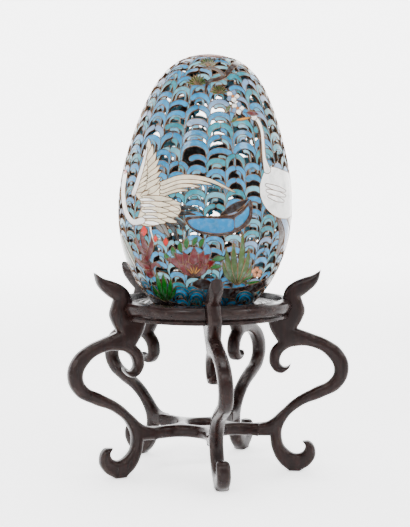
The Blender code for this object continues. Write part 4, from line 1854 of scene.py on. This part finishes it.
    def grasses(self) -> None:
        """Olive blades to the right, a bright tuft low on the left, and a small peach flower."""
        base = (19.6, -43.5)
        for tip, width, bend in (
            ((27.8, -30), 2.2, -2.4), ((11.2, -28.4), 2.8, 2.2), ((26.4, -21.4), 2.8, -1.8),
            ((13.2, -21.2), 3.6, 1.6), ((17.6, -17.6), 3.4, 0.8), ((22.8, -12.0), 3.4, -1.0),
        ):
            self.add(Glaze.OLIVE, leaf(base, tip, width, bend, 8))
        for k in range(5):
            self.add(Glaze.PEACH, disc(around((30.9, -36.0), 1.9, 2 * math.pi * k / 5 + 0.3), 1.4, 7))
        self.add(Glaze.LEAF, leaf((22, -41), (29.6, -37.6), 1.6), leaf((23, -42.6), (33.5, -41), 1.6))
        tuft = (-21.4, -53.0)
        for tip, width, bend in (
            ((-29.4, -42.6), 2.4, 1.2), ((-15.8, -43.8), 2.4, -1.0), ((-27.0, -34.8), 2.8, 1.0),
            ((-18.6, -38.6), 2.8, -0.8), ((-23.2, -36.2), 3.0, 0.0),
        ):
            self.add(Glaze.LEAF, leaf(tuft, tip, width, bend, 7))

    def ground(self) -> None:
        """Bands of brown earth and a rock low down."""
        right = [(6.5, -46.5), (16, -48), (27, -46), (38, -40.5)]
        self.add(Glaze.EARTH, ribbon(curve_through(right, 2.0), [4.0, 6.0, 5.4, 3.0]))
        left = [(-39, -45.5), (-31, -51.5), (-22, -54.5), (-12, -56)]
        self.add(Glaze.EARTH, ribbon(curve_through(left, 2.0), [2.6, 4.4, 4.8, 3.0]))
        rock = [(-6.4, -42.6), (-1, -39.6), (4.4, -41.4), (6, -45), (-2, -45.4)]
        self.add(Glaze.EARTH, curve_through(rock, 2.0, closed=True))

    def waves(self) -> None:
        """Nested curls of water low in the middle."""
        for x, y, reach in (
            (-13.6, -50.8, 6.4), (-3.8, -51.6, 5.4), (8.4, -54.2, 4.6), (24, -52.0, 5.0),
        ):
            for k, glaze in enumerate((Glaze.TEAL, Glaze.SKY, Glaze.TEAL)):
                radius = reach - 1.9 * k
                arc = [math.radians(-10 + 200 * n / 8) for n in range(9)]
                path = [(x + radius * math.cos(t), y + 0.9 * radius * math.sin(t)) for t in arc]
                self.add(glaze, ribbon(path, [1.0, 1.9, 1.9, 1.0]))


@dataclass
class EnamelledEgg:
    """The openwork skin: cells of enamel between wires, see-through wherever no cell lies."""

    skin: Skin
    wall: float = 1.35
    wire: float = 0.20
    wire_sides: int = 4
    spread: float = 3.6
    edge_step: float = 2.4
    wire_lift: float = 0.05
    sharp_deg: float = 35.0
    foot_share: float = 0.9
    # Inner faces behind pictures: a dark counter enamel colour that also stands as painted shade inside
    # the egg.
    counter_and_shade_colour: Colour = (0.014, 0.009, 0.007)

    def _fence(self, first: Spot, last: Spot) -> list[Spot]:
        """Points along a straight line on the unrolled skin."""
        count = max(1, round(math.dist(first, last) / self.edge_step))
        return [tuple(p) for p in np.linspace(first, last, count + 1)]

    def _wrapped(self, cells: list[Cell]) -> list[Cell]:
        """Carries the cells round to lie within the unrolled skin.

        Args:
            cells: the cells, in order.

        Returns:
            The cells in order, and beside each one that crosses the seam its copy on the other side.
        """
        whole = 2 * self.skin.half_round
        made = []
        for cell in cells:
            middle = (cell.outline[:, 0].min() + cell.outline[:, 0].max()) / 2
            shift = -whole * math.floor((middle + self.skin.half_round) / whole)
            outline = cell.outline + (shift, 0.0)
            made.append(replace(cell, outline=outline))
            if outline[:, 0].max() > self.skin.half_round:
                made.append(replace(cell, outline=outline - (whole, 0.0)))
            elif outline[:, 0].min() < -self.skin.half_round:
                made.append(replace(cell, outline=outline + (whole, 0.0)))
        return made

    def _overlay(self, cells: list[Cell]) -> tuple[np.ndarray, np.ndarray, np.ndarray]:
        """Cuts the skin into triangles along every outline and finds the uppermost cell of each.

        Args:
            cells: the cells, from the lowest to the uppermost.

        Returns:
            The corners on the unrolled skin, the triangles, and each one's cell, or -1 where it is open.
        """
        skin = self.skin
        spots, edges = [], []

        def string(points: list[Spot], closed: bool) -> None:
            """Adds a line that triangles may not cross.

            Args:
                points: its points.
                closed: whether it comes back to its start.
            """
            start = len(spots)
            spots.extend(points)
            edges.extend((start + k, start + k + 1) for k in range(len(points) - 1))
            if closed:
                edges.append((start + len(points) - 1, start))

        for cell in cells:
            string([tuple(p) for p in cell.outline], True)
        for share in (-1.0, -0.5, 0.5, 1.0):
            across = share * skin.half_round
            string(self._fence((across, skin.low), (across, skin.high)), False)
        for along in (skin.low, skin.high):
            string(self._fence((-skin.half_round, along), (skin.half_round, along)), False)
        along = skin.low + self.spread
        while along < skin.high:
            count = max(6, round(2 * math.pi * skin.egg.ring(along)[0] / self.spread))
            for k in range(count):
                spots.append(((2 * (k + 0.5) / count - 1) * skin.half_round, along))
            along += self.spread
        result = delaunay_2d_cdt([Vector(p) for p in spots], edges, [], 0, 1e-3, False)
        corners = np.array([tuple(v) for v in result[0]])
        triangles = np.array([face for face in result[2] if len(face) == 3])
        middles = corners[triangles].mean(axis=1)
        across, along = middles.T
        within = (abs(across) < skin.half_round) & (along > skin.low) & (along < skin.high)
        triangles, middles = triangles[within], middles[within]
        winner = np.full(len(triangles), -1)
        for number, cell in enumerate(cells):
            low, high = cell.outline.min(axis=0), cell.outline.max(axis=0)
            near = np.flatnonzero(((middles > low) & (middles < high)).all(axis=1))
            winner[near[enclosed(middles[near], [cell.outline])]] = number
        return corners, triangles, winner

    def _colours(
        self, cells: list[Cell], corners: np.ndarray, triangles: np.ndarray, winner: np.ndarray
    ) -> dict[str, np.ndarray]:
        """Colours the triangles, paler towards each cell's foot.

        Args:
            cells: the cells.
            corners: every corner on the unrolled skin.
            triangles: the enamelled triangles.
            winner: the number of each one's cell.

        Returns:
            The outer and inner colours at each triangle's three corners, by attribute name.
        """
        bright, feet, inner = (np.array(rows) for rows in zip(*[
            (cell.colour, cell.foot, tuple(self.foot_share * part for part in cell.foot)) for cell in cells
        ]))
        # Behind pictures the inner face takes the dark colour, partly painted shade.
        inner[[cell.backed for cell in cells]] = self.counter_and_shade_colour
        low = np.array([cell.outline[:, 1].min() for cell in cells])
        high = np.array([cell.outline[:, 1].max() for cell in cells])
        heights = corners[triangles][:, :, 1]
        share = (heights - low[winner][:, None]) / (high - low)[winner][:, None]
        share = np.clip(1.15 * share, 0.0, 1.0)[:, :, None]
        outer = feet[winner][:, None, :] * (1 - share) + bright[winner][:, None, :] * share
        return {"glaze": outer, "inner_glaze": np.repeat(inner[winner][:, None, :], 3, axis=1)}

    def _shell(
        self, name: str, placed: list[Vector], triangles: np.ndarray,
        colours: dict[str, np.ndarray], materials: list[bpy.types.Material],
    ) -> bpy.types.Object:
        """One half of the enamel, given its wall inwards.

        Args:
            name: the piece's name.
            placed: every corner in its place.
            triangles: this half's enamelled triangles.
            colours: the colours at their corners, by attribute name.
            materials: enamel, the inner face and the cut edges.

        Returns:
            The piece.
        """
        used, index = np.unique(triangles, return_inverse=True)
        mesh = bpy.data.meshes.new(name)
        mesh.from_pydata([placed[k] for k in used], [], index.reshape(-1, 3).tolist())
        for attribute, values in colours.items():
            shades = np.ones((len(triangles) * 3, 4))
            shades[:, :3] = values.reshape(-1, 3)
            layer = mesh.color_attributes.new(attribute, "FLOAT_COLOR", "CORNER")
            layer.data.foreach_set("color", shades.ravel())
        for material in materials:
            mesh.materials.append(material)
        obj = put_in_scene(name, mesh)
        wall = obj.modifiers.new("wall", "SOLIDIFY")
        wall.thickness = self.wall * MM
        wall.offset = -1
        wall.use_even_offset = False
        wall.material_offset = 1
        wall.material_offset_rim = 2
        solid = bpy.data.meshes.new_from_object(obj.evaluated_get(bpy.context.evaluated_depsgraph_get()))
        obj.modifiers.clear()
        obj.data = solid
        solid.shade_smooth()
        solid.set_sharp_from_angle(angle=math.radians(self.sharp_deg))
        return obj

    def build(
        self, cells: list[Cell], materials: list[bpy.types.Material], wire: bpy.types.Material
    ) -> None:
        """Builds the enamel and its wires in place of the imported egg.

        Args:
            cells: the cells, from the lowest to the uppermost.
            materials: enamel, the inner face and the cut edges.
            wire: the wires' material.
        """
        cells = self._wrapped(cells)
        corners, triangles, winner = self._overlay(cells)
        LOG.info("%d cells cut the skin into %d triangles", len(cells), len(triangles))
        placed = [self.skin.point(*corner) for corner in corners]
        middles = corners[triangles].mean(axis=1)
        front = abs(middles[:, 0]) < self.skin.half_round / 2
        for name, half in (("enamel_front", front), ("enamel_back", ~front)):
            chosen = half & (winner >= 0)
            colours = self._colours(cells, corners, triangles[chosen], winner[chosen])
            obj = self._shell(name, placed, triangles[chosen], colours, materials)
            finished(obj, "openwork_egg")
        tree = wire_tree()
        for name, share in (("wires_front", True), ("wires_back", False)):
            guide = self._wire_guide(name, corners, triangles, winner, share)
            values = {"Wire Radius": self.wire * MM, "Sides": self.wire_sides, "Material": wire}
            finished(tree.run(name, guide, values), "openwork_egg")

    def _wire_guide(
        self, name: str, corners: np.ndarray, triangles: np.ndarray, winner: np.ndarray, front: bool
    ) -> bpy.types.Mesh:
        """The lines between unlike cells and round every opening.

        Args:
            name: the mesh's name.
            corners: every corner on the unrolled skin.
            triangles: all the triangles.
            winner: each one's cell, or -1 where it is open.
            front: whether to take the lines of the front half or of the back.

        Returns:
            A mesh of edges, a hair above the skin.
        """
        sides = {}
        for triangle, cell in zip(triangles.tolist(), winner.tolist()):
            for a, b in zip(triangle, triangle[1:] + triangle[:1]):
                sides.setdefault((min(a, b), max(a, b)), []).append(cell)
        lines = []
        for (a, b), found in sides.items():
            at_rim = len(found) == 1 and abs(corners[a, 0]) < self.skin.half_round - 0.01
            if (at_rim or len(set(found)) > 1) and max(found) >= 0:
                middle = (corners[a, 0] + corners[b, 0]) / 2
                if (abs(middle) < self.skin.half_round / 2) == front:
                    lines.append((a, b))
        used = sorted({k for line in lines for k in line})
        number = {k: n for n, k in enumerate(used)}
        mesh = bpy.data.meshes.new(name)
        spots = [self.skin.point(*corners[k], self.wire_lift) for k in used]
        mesh.from_pydata(spots, [(number[a], number[b]) for a, b in lines], [])
        return mesh


def wire_tree() -> NodeTree:
    """Soldered wires: every line of an edge mesh becomes a thin bar with closed ends.

    Returns:
        The tree, with the inputs Wire Radius, Sides and Material.
    """
    kinds = {"Wire Radius": "Float", "Sides": "Int", "Material": "Material"}
    tree = NodeTree("soldered_wires", kinds)
    lines = tree.node("GeometryNodeMeshToCurve", {}, {"Mesh": "Geometry"})
    size = {"Resolution": "Sides", "Radius": "Wire Radius"}
    bar = tree.node("GeometryNodeCurvePrimitiveCircle", {}, size)
    sweep = {"Curve": lines, "Profile Curve": bar, "Fill Caps": True}
    tree.finish(tree.node("GeometryNodeCurveToMesh", {}, sweep))
    return tree


@dataclass
class Caps:
    """The plain metal caps that close the egg's two ends."""

    skin: Skin
    steps: int = 72
    overlap: float = 0.7
    bead: float = 0.9
    wall: float = 1.2

    def _section(self, top: bool) -> list[Spot]:
        """A cap's section.

        Args:
            top: whether it is the crown's, not the base's.

        Returns:
            (radius, height) pairs from the pole over the cap, round its beaded edge and back inside.
        """
        egg = self.skin.egg
        edge = self.skin.high - self.overlap if top else self.skin.low + self.overlap
        pole = float(egg.lengths[-1]) if top else 0.0
        outer = [egg.ring(pole + (edge - pole) * k / 8) for k in range(9)]
        radius, height = outer[-1]
        way = 1 if top else -1
        bead = [
            (radius + self.bead * math.sin(t), height - way * self.bead * (1 - math.cos(t)))
            for t in (math.pi / 4, math.pi / 2, 3 * math.pi / 4)
        ]
        inner = [(max(r - self.wall, 0.0), h - way * self.wall) for r, h in reversed(outer)]
        return outer + bead + inner

    def build(self, metal: bpy.types.Material) -> None:
        """Turns both caps.

        Args:
            metal: what they are made of.
        """
        for name, top in (("crown_cap", True), ("base_cap", False)):
            cap = turned(name, self._section(top), self.skin.egg.radius, self.steps, False, metal)
            cap.data.transform(self.skin.tilt)
            cap.data.shade_smooth()
            keep_inside(cap.data, self.skin.egg.packed)
            finished(cap, "openwork_egg")


def main() -> None:
    """Builds the stand, the egg and the studio."""
    logging.basicConfig(level=logging.INFO, format="%(message)s")
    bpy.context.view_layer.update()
    packed = Packed.read()
    wood = Rosewood().material()
    legs = Legs(packed)
    egg = Egg(packed)
    legs.build(wood)
    Stretcher(packed, legs).build(wood)
    Plate(packed, legs, egg).build(wood)
    studio = Studio(packed)
    skin = Skin(egg, studio)
    cells = Plumes(skin).cells() + Pictures(skin).cells()
    glazes = [Enamel("glossy_enamel", "glaze"), Enamel("counter_enamel_and_shade", "inner_glaze", 0.3)]
    edge = Metal("cut_edges", (0.22, 0.13, 0.08), (0.06, 0.04, 0.03), 0.35)
    gilt = Metal("gilt_wire", (0.17, 0.10, 0.058), (0.034, 0.022, 0.016), 0.32).material()
    EnamelledEgg(skin).build(cells, [finish.material() for finish in (*glazes, edge)], gilt)
    Caps(skin).build(Metal("rosy_cap", (0.17, 0.075, 0.055), (0.09, 0.038, 0.028), 0.5, 0.3).material())
    studio.build()


if __name__ == "__main__":
    main()
